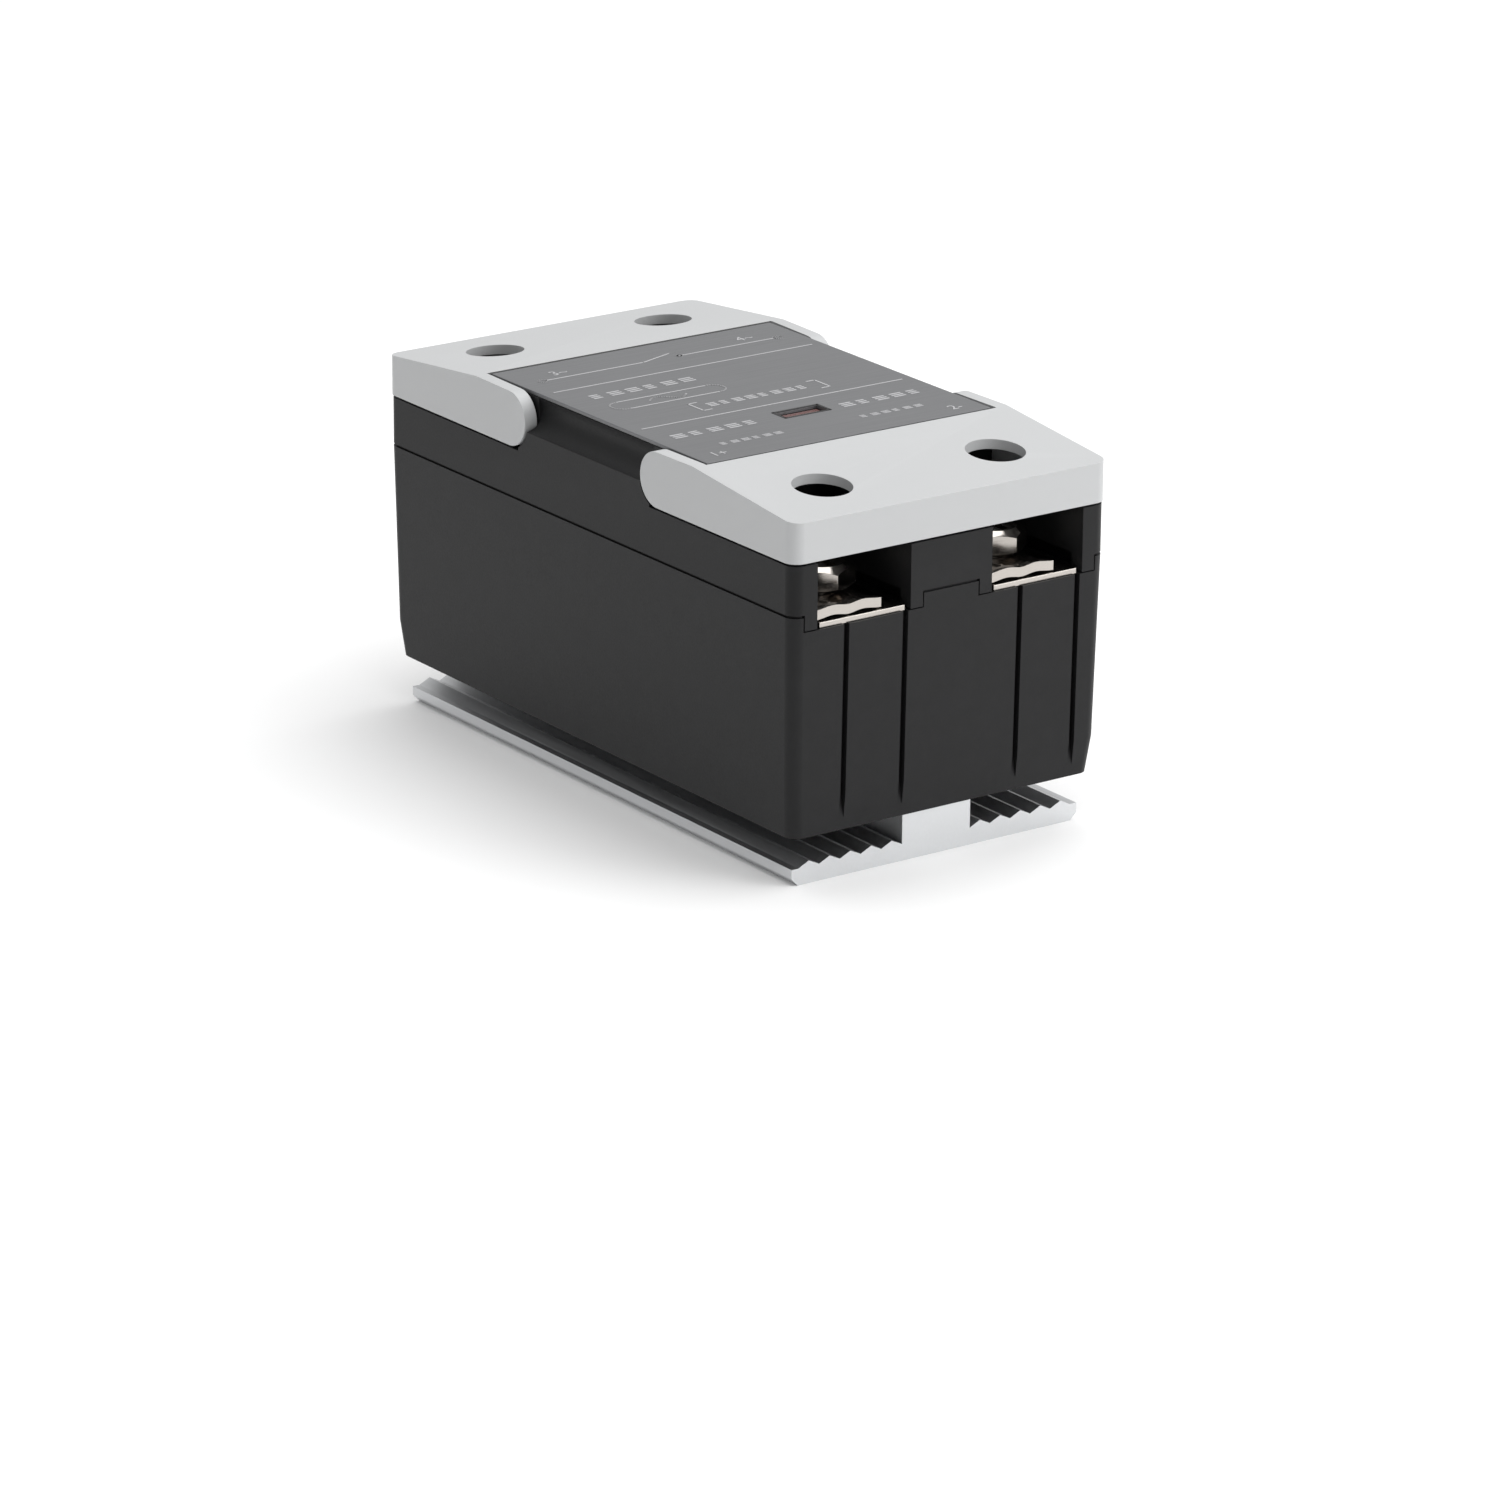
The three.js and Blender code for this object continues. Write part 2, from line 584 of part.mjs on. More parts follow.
// The front cover; the rear one is the same piece turned half round.
function terminalCover() {
  const shoulder = new THREE.Shape();
  shoulder.moveTo(-halfL, coverZ);
  shoulder.lineTo(-hingeY, coverZ);
  shoulder.absarc(-hingeY, hingeZ, EAR_R, -Math.PI / 2, Math.PI / 2);
  shoulder.lineTo(-blockY, topZ);
  shoulder.lineTo(-halfL, coverEndZ);
  const blank = slabX(shoulder, [-halfW, halfW], 14);
  const plan = extruded(roundedRectangle(halfW, halfL, CORNER_R), topZ);
  const rounded = blank.intersect(solid(plan));

  const innerX = halfW - SKIRT_T;
  const innerY = halfL - SKIRT_T;
  const slope = (topZ - coverEndZ) / (halfL - blockY);
  const underside = (y) => topZ - COVER_T - slope * (y - blockY);
  const edgeY = blockY + FIT_GAP;
  const hollow = outline([
    [-innerY, coverZ - 1],
    [1, coverZ - 1],
    [1, topZ + 1],
    [-edgeY, topZ + 1],
    [-edgeY, topZ - slope * FIT_GAP],
    [-edgeY - EDGE_UNDERCUT, underside(edgeY + EDGE_UNDERCUT)],
    [-innerY, underside(innerY)],
  ]);
  const hingeHoles = SIDES.map(([, side]) =>
    bar(HINGE_PIN_R + SLIP_GAP, "x",
      span(side, innerX - 1, innerX + HINGE_PIN_REACH + SLIP_GAP), [-hingeY, hingeZ]),
  );
  const driverHoles = SIDES.map(([, side]) =>
    bar(DRIVER_HOLE_R, "z", [coverZ, topZ + 1], [side * terminalX, -terminalY], 36),
  );
  return cut(rounded, [slabX(hollow, [-innerX, innerX]), ...hingeHoles, ...driverHoles]);
}

// ---------------------------------------------------------------- terminals
// Each piece is drawn about its own screw's axis, at the front left terminal's heights.

function terminalTab(footZ) {
  const wideEnd = terminalY - bayY - SLIP_GAP;
  const innerEnd = terminalY - legY;
  const leg = [LEG_OFFSET - LEG_HALF_W, LEG_OFFSET + LEG_HALF_W];
  const legSpan = [innerEnd, innerEnd + TAB_T];
  const blank = union([
    box([-tabHalfW, tabHalfW], [tabTipY, wideEnd], [ledgeZ, tabTopZ]),
    box(leg, [0, innerEnd + TAB_T], [ledgeZ, tabTopZ]),
    box(leg, legSpan, [footZ, tabTopZ]),
    box(leg, [innerEnd, innerEnd + FOOT_REACH], [footZ, footZ + TAB_T]),
  ]);
  return blank.subtract(bar(SCREW_R + FIT_GAP, "z", [ledgeZ - 1, tabTopZ + 1], [0, 0], 24));
}

// A wavy plate: low along its middle and at both edges, with a crest on each side of the middle, and
// a raised lip along its front and back that holds the wire. It lies against the window's side, where
// the screw's last turn left it, so it is off the screw's axis.
function saddleClamp() {
  const steps = 20;
  const lift = (u) => CLAMP_WAVE * Math.sin(Math.PI * Math.abs(u) ** 0.9) ** 2;
  const stations = Array.from({ length: steps + 1 }, (_, i) => (2 * i) / steps - 1);
  const wave = (rise) => stations.map((u) => [clampX + u * CLAMP_HALF_W, clampZ + lift(u) + rise]);
  const lipTop = CLAMP_T + CLAMP_LIP_H;
  const frontY = tabTipY + CLAMP_SETBACK;
  const strip = slabY(outline([...wave(0), ...wave(lipTop).reverse()]), [frontY, CLAMP_BACK]);
  const above = outline([...wave(CLAMP_T), ...wave(lipTop + 1).reverse()]);
  const between = [frontY + CLAMP_LIP_W, CLAMP_BACK - CLAMP_LIP_W];
  const floorZ = clampZ + CLAMP_T;
  const edges = [-1, 1].map((side) => {
    const edge = clampX + side * CLAMP_HALF_W;
    return box([edge - ROOT, edge + ROOT], between, [floorZ, floorZ + 2 * CLAMP_LIP_H]);
  });
  const hole = bar(SCREW_R + FIT_GAP, "z", [clampZ - 1, clampZ + 4], [0, 0], 24);
  return cut(strip, [slabY(above, between), ...edges, hole]);
}

// A hexagon head with its corners turned off above and below, and a cross recess in its top. Each
// screw stopped at a turn of its own.
function terminalScrew(turn) {
  const headTop = headZ + SCREW_HEAD_H;
  const flatR = SCREW_HEAD_R * Math.cos(Math.PI / 6);
  const disc = turned([
    [0, headZ],
    [flatR - SCREW_CHAMFER, headZ],
    [SCREW_HEAD_R, headZ + SCREW_CHAMFER],
    [SCREW_HEAD_R, headTop - SCREW_CHAMFER],
    [flatR - SCREW_CHAMFER, headTop],
    [0, headTop],
  ], 36);
  const prism = bar(SCREW_HEAD_R, "z", [headZ - 1, headTop + 1], [0, 0], 6);
  const hexagon = prism.rotate([0, 0, turn + PRISM_START]);
  const shank = turned([
    [0, headZ - SCREW_LENGTH],
    [SCREW_R - 0.5, headZ - SCREW_LENGTH],
    [SCREW_R, headZ - SCREW_LENGTH + 0.5],
    [SCREW_R, headZ + ROOT],
    [0, headZ + ROOT],
  ], 28);
  const blank = union([disc.intersect(hexagon), shank]);
  return cut(blank, crossRecess(RECESS_SPAN / 2, RECESS_W, [headTop - RECESS_DEPTH, headTop + 1]));
}

function terminalNut() {
  const top = ledgeZ - SLIP_GAP;
  const block = box([-NUT_HALF, NUT_HALF], [-NUT_HALF, NUT_HALF], [top - NUT_H, top]);
  return block.subtract(bar(SCREW_R + SLIP_GAP, "z", [top - NUT_H - 1, top + 1], [0, 0], 24));
}

// ---------------------------------------------------------------- electronics

// Two rows of gate pins, and the front row is clear of the lamp.
const pinRows = [
  Math.max(-boardY * PIN_ROW_SHARE, lampY + LED_R + LED_RIM + GATE_PIN_R + FIT_GAP),
  boardY * PIN_ROW_SHARE,
];
const pinPlaces = () => SIDES.flatMap(([, side]) => pinRows.map((y) => [side * GATE_PIN_X, y]));

function controlBoard() {
  const board = box([-boardX, boardX], [-boardY, boardY], [boardZ, boardTopZ]);
  const through = [boardZ - 1, boardTopZ + 1];
  return cut(board, pinPlaces().map((at) => bar(GATE_PIN_R + FIT_GAP, "z", through, at, 12)));
}

function substrate() {
  const halfX = columnX - COLUMN_R - FIT_GAP;
  const halfY = columnY - COLUMN_R + SUBSTRATE_END_GAP;
  const tile = box([-halfX, halfX], [-halfY, halfY], [closingTopZ, substrateTopZ]);
  return cut(tile, [-1, 1].map((end) =>
    box(
      [-BASE_SCREW_R - FIT_GAP, BASE_SCREW_R + FIT_GAP],
      span(end, baseScrewY - BASE_SCREW_R - FIT_GAP, baseScrewY + 10),
      [closingTopZ - 1, substrateTopZ + 1],
    ),
  ));
}

function thyristor() {
  const half = THYRISTOR_HALF;
  return box([-half, half], [-half, half], [substrateTopZ, substrateTopZ + THYRISTOR_H]);
}

const gatePin = () => bar(GATE_PIN_R, "z", [substrateTopZ + SLIP_GAP, boardTopZ + 1.2], [0, 0], 12);

const lead = (x, y, top) =>
  box([x - LEAD_HALF_W, x + LEAD_HALF_W], [y - LEAD_HALF_W, y + LEAD_HALF_W], [boardTopZ, top]);

function indicatorLed() {
  const foot = boardTopZ + STAND_OFF;
  const dome = boardTopZ + LED_H - LED_R;
  const arc = Array.from({ length: 7 }, (_, i) => {
    const angle = (i * Math.PI) / 12;
    return [LED_R * Math.cos(angle), dome + LED_R * Math.sin(angle)];
  });
  arc[arc.length - 1][0] = 0;
  const rim = [[0, foot], [LED_R + LED_RIM, foot], [LED_R + LED_RIM, foot + 1], [LED_R, foot + 1]];
  const body = turned([...rim, ...arc], 20);
  return union([body, ...[-1, 1].map((side) => lead((side * LEAD_PITCH) / 2, 0, foot + ROOT))]);
}

function varistor() {
  const centreZ = boardTopZ + STAND_OFF + VARISTOR_R;
  const disc = bar(VARISTOR_R, "y", [-VARISTOR_T / 2, VARISTOR_T / 2], [0, centreZ], 28);
  const pins = [-1, 1].map((side) => lead(side * LEAD_PITCH, 0, centreZ - VARISTOR_R / 2));
  return union([disc, ...pins]);
}

function boxed([sizeX, sizeY, sizeZ], leadX) {
  const foot = boardTopZ + STAND_OFF;
  const body = box([-sizeX / 2, sizeX / 2], [-sizeY / 2, sizeY / 2], [foot, foot + sizeZ]);
  return union([body, lead(-leadX, 0, foot + ROOT), lead(leadX, 0, foot + ROOT)]);
}

function optocoupler() {
  const [sizeX, sizeY, sizeZ] = COUPLER_SIZE;
  const foot = boardTopZ + STAND_OFF;
  const body = box([-sizeX / 2, sizeX / 2], [-sizeY / 2, sizeY / 2], [foot, foot + sizeZ]);
  const pins = [-LEAD_PITCH, 0, LEAD_PITCH].flatMap((x) =>
    [-1, 1].map((end) =>
      box(
        [x - LEAD_HALF_W, x + LEAD_HALF_W],
        span(end, sizeY / 2 - LEAD_HALF_W, sizeY / 2 + LEAD_HALF_W),
        [boardTopZ, foot + sizeZ / 2],
      ),
    ),
  );
  return union([body, ...pins]);
}

function resistor() {
  const centreZ = boardTopZ + STAND_OFF + RESISTOR_R;
  const half = RESISTOR_LENGTH / 2;
  const reach = half + LEAD_PITCH / 2;
  return union([
    bar(RESISTOR_R, "x", [-half, half], [0, centreZ], 16),
    box([-reach, reach], [-LEAD_HALF_W, LEAD_HALF_W], [centreZ - LEAD_HALF_W, centreZ + LEAD_HALF_W]),
    lead(-reach + LEAD_HALF_W, 0, centreZ),
    lead(reach - LEAD_HALF_W, 0, centreZ),
  ]);
}

function transistor() {
  const foot = boardTopZ + 2 * STAND_OFF;
  const can = bar(TRANSISTOR_R, "z", [foot, foot + TRANSISTOR_H], [0, 0], 20);
  const flat = box([-4, 4], [-4, -TRANSISTOR_R * 0.6], [foot - 1, foot + TRANSISTOR_H + 1]);
  const pins = [-1, 0, 1].map((i) => lead((i * LEAD_PITCH) / 2, 0, foot + ROOT));
  return union([can.subtract(flat), ...pins]);
}

// ---------------------------------------------------------------- assembly

const relay = new THREE.Group();

function place(name, shape, material, parent = relay, at = [0, 0, 0]) {
  const mesh = new THREE.Mesh(geometryOf(shape), material);
  mesh.name = name;
  mesh.position.set(...at);
  parent.add(mesh);
  return mesh;
}

place("heat_sink_base", heatSinkBase(), ALUMINIUM);
place("closing_plate", closingPlate(), ANODISED_BLACK);
place("lower_housing", lowerHousing(), BLACK_PLASTIC);
place("upper_housing", upperHousing(), BLACK_PLASTIC);
place("label_plate", labelPlate(), LABEL_GREY);
place("led_light_pipe", lightPipe(), CLEAR_PINK);

const controlFootZ = boardTopZ + FIT_GAP;
const loadFootZ = substrateTopZ + FIT_GAP;
for (const [endName, end] of ENDS) {
  const half = new THREE.Group();
  half.rotation.z = end > 0 ? 0 : Math.PI;
  relay.add(half);
  place(endName + "_cover", terminalCover(), GREY_PLASTIC, half);
  for (const [sideName, side] of SIDES) {
    const at = [side * end * terminalX, -terminalY, 0];
    const label = endName + "_" + sideName;
    const tab = terminalTab(end > 0 ? controlFootZ : loadFootZ);
    place("terminal_tab_" + label, side * end < 0 ? tab.mirror([1, 0, 0]) : tab, NICKEL, half, at);
    place("saddle_clamp_" + label, saddleClamp(), NICKEL, half, at);
    place("terminal_screw_" + label, terminalScrew(SCREW_TURNS[label]), NICKEL, half, at);
    place("terminal_nut_" + label, terminalNut(), ZINC_STEEL, half, at);
  }
}

for (const [endName, end] of ENDS) {
  place("base_screw_" + endName, baseScrew(), ZINC_STEEL, relay, [0, -end * baseScrewY, 0]);
  for (const [sideName, side] of SIDES) {
    const at = [side * columnX, -end * columnY, 0];
    place("housing_screw_" + endName + "_" + sideName, housingScrew(), ZINC_STEEL, relay, at);
  }
}

place("ceramic_substrate", substrate(), CERAMIC);
place("control_board", controlBoard(), BOARD_GREEN);
for (const [sideName, side] of SIDES) {
  const x = side * (THYRISTOR_HALF + THYRISTOR_GAP);
  place("thyristor_" + sideName, thyristor(), EPOXY_BLACK, relay, [x, 0, 0]);
}
pinPlaces().forEach(([x, y], i) => place("gate_pin_" + (i + 1), gatePin(), COPPER, relay, [x, y, 0]));
place("indicator_led", indicatorLed(), LED_RED, relay, [LAMP_X, lampY, 0]);
place("optocoupler", optocoupler(), EPOXY_BLACK, relay, [-boardX * 0.5, 0, 0]);
place("varistor", varistor(), VARISTOR_BLUE, relay, [-boardX * 0.45, boardY * 0.7, 0]);
place("snubber_capacitor", boxed(CAPACITOR_SIZE, 5), FILM_YELLOW, relay, [boardX * 0.45, boardY * 0.65, 0]);
place("driver_transistor", transistor(), EPOXY_BLACK, relay, [-boardX * 0.5, -boardY * 0.68, 0]);
for (const [i, share] of [-0.66, -0.36, 0.02].entries()) {
  place("resistor_" + (i + 1), resistor(), RESISTOR_TAN, relay, [boardX * 0.62, boardY * share, 0]);
}

export default relay;
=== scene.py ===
"""Solid state relay: fine meshes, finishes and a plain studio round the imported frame."""

import math

import bmesh
import bpy
from mathutils import Matrix, Vector


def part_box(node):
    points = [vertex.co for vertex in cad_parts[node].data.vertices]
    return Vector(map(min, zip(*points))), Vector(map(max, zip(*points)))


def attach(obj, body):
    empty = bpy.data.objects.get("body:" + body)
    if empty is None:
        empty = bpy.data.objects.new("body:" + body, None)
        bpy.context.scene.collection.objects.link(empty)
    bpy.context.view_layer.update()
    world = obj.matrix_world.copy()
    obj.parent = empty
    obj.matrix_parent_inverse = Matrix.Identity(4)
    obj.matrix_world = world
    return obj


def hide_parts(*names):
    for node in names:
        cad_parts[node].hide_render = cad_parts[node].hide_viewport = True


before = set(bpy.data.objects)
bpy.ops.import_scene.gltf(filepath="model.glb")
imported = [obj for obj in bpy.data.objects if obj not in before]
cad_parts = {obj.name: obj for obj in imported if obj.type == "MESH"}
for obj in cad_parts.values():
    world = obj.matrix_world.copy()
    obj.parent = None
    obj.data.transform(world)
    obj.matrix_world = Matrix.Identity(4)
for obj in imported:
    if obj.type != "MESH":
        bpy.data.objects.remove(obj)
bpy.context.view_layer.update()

bl_info = {
    "name": "Solid State Relay",
    "version": (1, 0, 0),
    "blender": (4, 5, 0),
    "location": "View3D > Sidebar > Relay",
    "description": "Finishes a solid state relay on its packed frame",
    "category": "Object",
}

MM = 0.001
SIDES = ("left", "right")
ENDS = ("front", "rear")
CORNERS = [f"{end}_{side}" for end in ENDS for side in SIDES]

WELD = 0.001 * MM           # vertices this near become one
COPY_WELD = 0.002 * MM      # the same, on a mesh copied from the frame
FLAT_ANGLE = 0.6            # degrees within which neighbouring faces are one flat face
BUMP_HEIGHT = 0.02 * MM     # how deep a finish's grain or streaks look


# ------------------------------------------------------------------ settings


def length(name, description, default):
    return bpy.props.FloatProperty(
        name=name, description=description, default=default, min=0, precision=5,
        subtype="DISTANCE", unit="LENGTH",
    )


def colour(name, description, default):
    return bpy.props.FloatVectorProperty(
        name=name, description=description, default=default, min=0, max=1, subtype="COLOR",
    )


class RELAY_PG_shape(bpy.types.PropertyGroup):
    """Sizes of the fine detail that the frame leaves plain."""

    cover_fillet: length("Cover fillet", "Soft edge round the top of each cover", 0.8 * MM)
    rim_round: length("Rim round", "Small rounding on every other moulded edge", 0.18 * MM)
    sheet_round: length("Sheet round", "Rounding on stamped and cut metal edges", 0.08 * MM)
    hole_round: length("Hole round", "Rounding on the covers' screwdriver holes", 0.28 * MM)
    ridge_round: length("Ridge round", "Rounding on the base's ridges", 0.3 * MM)
    screw_head_height: length("Screw head height", "Height of a terminal screw's head", 3.15 * MM)
    screw_round: length("Screw round", "Rounding on a terminal screw's head", 0.14 * MM)
    screw_shank_radius: length("Shank radius", "Outside radius of the terminal thread", 2.0 * MM)
    screw_thread_depth: length("Thread depth", "Depth of the terminal thread", 0.28 * MM)
    screw_pitch: length("Thread pitch", "Pitch of the terminal thread", 0.7 * MM)
    ink_thickness: length("Ink thickness", "How far the print stands on the label", 0.03 * MM)
    line_width: length("Line width", "Width of a printed line", 0.22 * MM)


class RELAY_PG_finish(bpy.types.PropertyGroup):
    """Colours of the finishes, in linear light."""

    black: colour("Housing black", "Glass-filled black moulding", (0.009, 0.009, 0.0095))
    grey: colour("Cover grey", "Light grey moulding", (0.47, 0.477, 0.482))
    label: colour("Label grey", "Satin label plate", (0.150, 0.152, 0.158))
    ink: colour("Print", "Pale print on the label", (0.42, 0.42, 0.43))
    aluminium: colour("Aluminium", "Bare extruded base", (0.66, 0.67, 0.68))
    anodised: colour("Black anodised", "Closing plate under the housing", (0.10, 0.10, 0.105))
    nickel: colour("Nickel", "Plated terminals", (0.46, 0.43, 0.40))
    zinc: colour("Zinc", "Plated steel fasteners", (0.60, 0.62, 0.65))
    lamp: colour("Lamp", "Tinted light pipe", (0.34, 0.17, 0.16))


class RELAY_PG_stage(bpy.types.PropertyGroup):
    """Camera and light."""

    azimuth: bpy.props.FloatProperty(
        name="Azimuth", description="Camera's turn from the control end",
        default=math.radians(-35.535), subtype="ANGLE", unit="ROTATION",
    )
    elevation: bpy.props.FloatProperty(
        name="Elevation", description="Camera's height above the horizon",
        default=math.radians(19.102), subtype="ANGLE", unit="ROTATION",
    )
    roll: bpy.props.FloatProperty(
        name="Roll", description="Camera's roll", default=math.radians(0.447),
        subtype="ANGLE", unit="ROTATION",
    )
    distance: length("Distance", "From the camera to its target", 0.82491)
    target: bpy.props.FloatVectorProperty(
        name="Target", description="Point in the middle of the picture",
        default=(-7.091 * MM, -12.632 * MM, 6.15 * MM), subtype="TRANSLATION", unit="LENGTH",
    )
    lens: bpy.props.FloatProperty(
        name="Lens", description="Focal length on a 36 mm film", default=167.66, unit="CAMERA",
    )
    key_power: bpy.props.FloatProperty(
        name="Key light", description="Overhead softbox", default=5.6, unit="POWER",
    )
    fill_power: bpy.props.FloatProperty(
        name="Fill light", description="Softbox in front, on the right", default=2.4, unit="POWER",
    )
    sky: bpy.props.FloatProperty(name="Sky", description="Light from all round", default=0.68)
    dark_sky: bpy.props.FloatProperty(
        name="Dark sky", description="Share of the sky's light that the left side gets", default=0.56,
    )


# ------------------------------------------------------------------ meshes


def copy_of(node):
    """A CAD node's mesh as one welded shell, with its flat faces whole again."""
    bm = bmesh.new()
    bm.from_mesh(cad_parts[node].data)
    bmesh.ops.remove_doubles(bm, verts=bm.verts, dist=COPY_WELD)
    bmesh.ops.dissolve_limit(
        bm, angle_limit=math.radians(FLAT_ANGLE), use_dissolve_boundaries=False,
        verts=bm.verts, edges=bm.edges, delimit=set(),
    )
    return bm


def sharp_edges(bm, angle):
    return [
        e for e in bm.edges if len(e.link_faces) == 2 and e.calc_face_angle() > math.radians(angle)
    ]


def round_off(bm, edges, radius, segments):
    bmesh.ops.bevel(
        bm, geom=edges, offset=radius, offset_type="OFFSET", segments=segments, profile=0.5,
        affect="EDGES", clamp_overlap=True, material=-1,
    )


def finish_piece(bm, name, body, material, replaced=(), smooth_angle=38):
    """Turns a bmesh into a shown piece that rides on a body."""
    mesh = bpy.data.meshes.new(name)
    bm.to_mesh(mesh)
    bm.free()
    mesh.shade_smooth()
    mesh.set_sharp_from_angle(angle=math.radians(smooth_angle))
    piece = bpy.data.objects.new(name, mesh)
    bpy.context.scene.collection.objects.link(piece)
    mesh.materials.append(material)
    weighted = piece.modifiers.new("even shading", "WEIGHTED_NORMAL")
    weighted.keep_sharp = True
    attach(piece, body)
    if replaced:
        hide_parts(*replaced)
    return piece


def rounded_copy(node, name, body, material, radius, segments=2, angle=28):
    """A CAD node with every sharp edge rounded."""
    bm = copy_of(node)
    round_off(bm, sharp_edges(bm, angle), radius, segments)
    return finish_piece(bm, name, body, material, [node])


def spin_profile(bm, profile, centre, steps, closed=False):
    """Turns (radius, height) points round an upright axis, into a solid or a ring."""
    verts = [bm.verts.new((centre[0] + r, centre[1], z)) for r, z in profile]
    edges = [bm.edges.new(pair) for pair in zip(verts, verts[1:])]
    if closed:
        edges.append(bm.edges.new((verts[-1], verts[0])))
    bmesh.ops.spin(
        bm, geom=verts + edges, cent=(centre[0], centre[1], 0), axis=(0, 0, 1),
        angle=2 * math.pi, steps=steps, use_merge=True, use_duplicate=False,
    )
    bmesh.ops.remove_doubles(bm, verts=bm.verts, dist=WELD)
    bmesh.ops.recalc_face_normals(bm, faces=bm.faces)


def carve(bm, cutters):
    """Takes the cutters' shape away from bm. Both are bmeshes, and the cutters are freed."""
    shapes = []
    for source in (bm, cutters):
        mesh = bpy.data.meshes.new("carving")
        source.to_mesh(mesh)
        shapes.append(bpy.data.objects.new("carving", mesh))
        bpy.context.scene.collection.objects.link(shapes[-1])
    cut = shapes[0].modifiers.new("cut", "BOOLEAN")
    cut.operation = "DIFFERENCE"
    cut.solver = "EXACT"
    cut.object = shapes[1]
    graph = bpy.context.evaluated_depsgraph_get()
    result = shapes[0].evaluated_get(graph).to_mesh()
    bm.clear()
    bm.from_mesh(result)
    cutters.free()
    for shape in shapes:
        mesh = shape.data
        bpy.data.objects.remove(shape)
        bpy.data.meshes.remove(mesh)
    bmesh.ops.remove_doubles(bm, verts=bm.verts, dist=WELD)


# ------------------------------------------------------------------ shader groups


def group_of(name, inputs, outputs, build):
    """A shader group with named inputs and outputs, built once."""
    tree = bpy.data.node_groups.get(name)
    if tree:
        return tree
    tree = bpy.data.node_groups.new(name, "ShaderNodeTree")
    for socket, kind, default in inputs:
        made = tree.interface.new_socket(socket, in_out="INPUT", socket_type=kind)
        made.default_value = default
    for socket, kind in outputs:
        tree.interface.new_socket(socket, in_out="OUTPUT", socket_type=kind)
    build(tree, tree.nodes.new("NodeGroupInput"), tree.nodes.new("NodeGroupOutput"))
    return tree


def node(tree, kind, **values):
    """A node with its settings and unlinked inputs set by name."""
    made = tree.nodes.new(kind)
    for key, value in values.items():
        if hasattr(made, key):
            setattr(made, key, value)
        else:
            made.inputs[key.replace("_", " ")].default_value = value
    return made


def math_node(tree, operation, *operands, clamp=False):
    made = tree.nodes.new("ShaderNodeMath")
    made.operation = operation
    made.use_clamp = clamp
    for socket, operand in zip(made.inputs, operands):
        if isinstance(operand, (int, float)):
            socket.default_value = operand
        else:
            tree.links.new(operand, socket)
    return made.outputs[0]


def moulded_grain():
    """Fine spark-eroded grain with slow mottling, for mouldings."""

    def build(tree, given, out):
        place = tree.nodes.new("ShaderNodeTexCoord").outputs["Object"]
        fine = node(tree, "ShaderNodeTexNoise", Detail=2.0, Roughness=0.55)
        tree.links.new(place, fine.inputs["Vector"])
        tree.links.new(given.outputs["Grain"], fine.inputs["Scale"])
        slow = node(tree, "ShaderNodeTexNoise", Scale=55.0, Detail=4.0, Roughness=0.6)
        tree.links.new(place, slow.inputs["Vector"])
        bump = node(tree, "ShaderNodeBump", Distance=BUMP_HEIGHT)
        tree.links.new(given.outputs["Depth"], bump.inputs["Strength"])
        tree.links.new(fine.outputs[0], bump.inputs["Height"])
        tree.links.new(bump.outputs[0], out.inputs["Normal"])
        tree.links.new(slow.outputs[0], out.inputs["Mottle"])
        tree.links.new(fine.outputs[0], out.inputs["Speck"])

    return group_of(
        "Moulded grain",
        [("Grain", "NodeSocketFloat", 5200.0), ("Depth", "NodeSocketFloat", 0.2)],
        [("Mottle", "NodeSocketFloat"), ("Speck", "NodeSocketFloat"), ("Normal", "NodeSocketVector")],
        build,
    )


def edge_wear():
    """A mask of rubbed edges, broken up by noise."""

    def build(tree, given, out):
        pointed = tree.nodes.new("ShaderNodeNewGeometry").outputs["Pointiness"]
        place = tree.nodes.new("ShaderNodeTexCoord").outputs["Object"]
        patches = node(tree, "ShaderNodeTexNoise", Scale=420.0, Detail=5.0, Roughness=0.65)
        tree.links.new(place, patches.inputs["Vector"])
        raised = math_node(tree, "SUBTRACT", pointed, given.outputs["Start"])
        ramp = math_node(tree, "MULTIPLY", raised, given.outputs["Gain"], clamp=True)
        broken = math_node(tree, "MULTIPLY", ramp, patches.outputs[0])
        tree.links.new(broken, out.inputs["Wear"])

    return group_of(
        "Edge wear",
        [("Start", "NodeSocketFloat", 0.52), ("Gain", "NodeSocketFloat", 9.0)],
        [("Wear", "NodeSocketFloat")],
        build,
    )


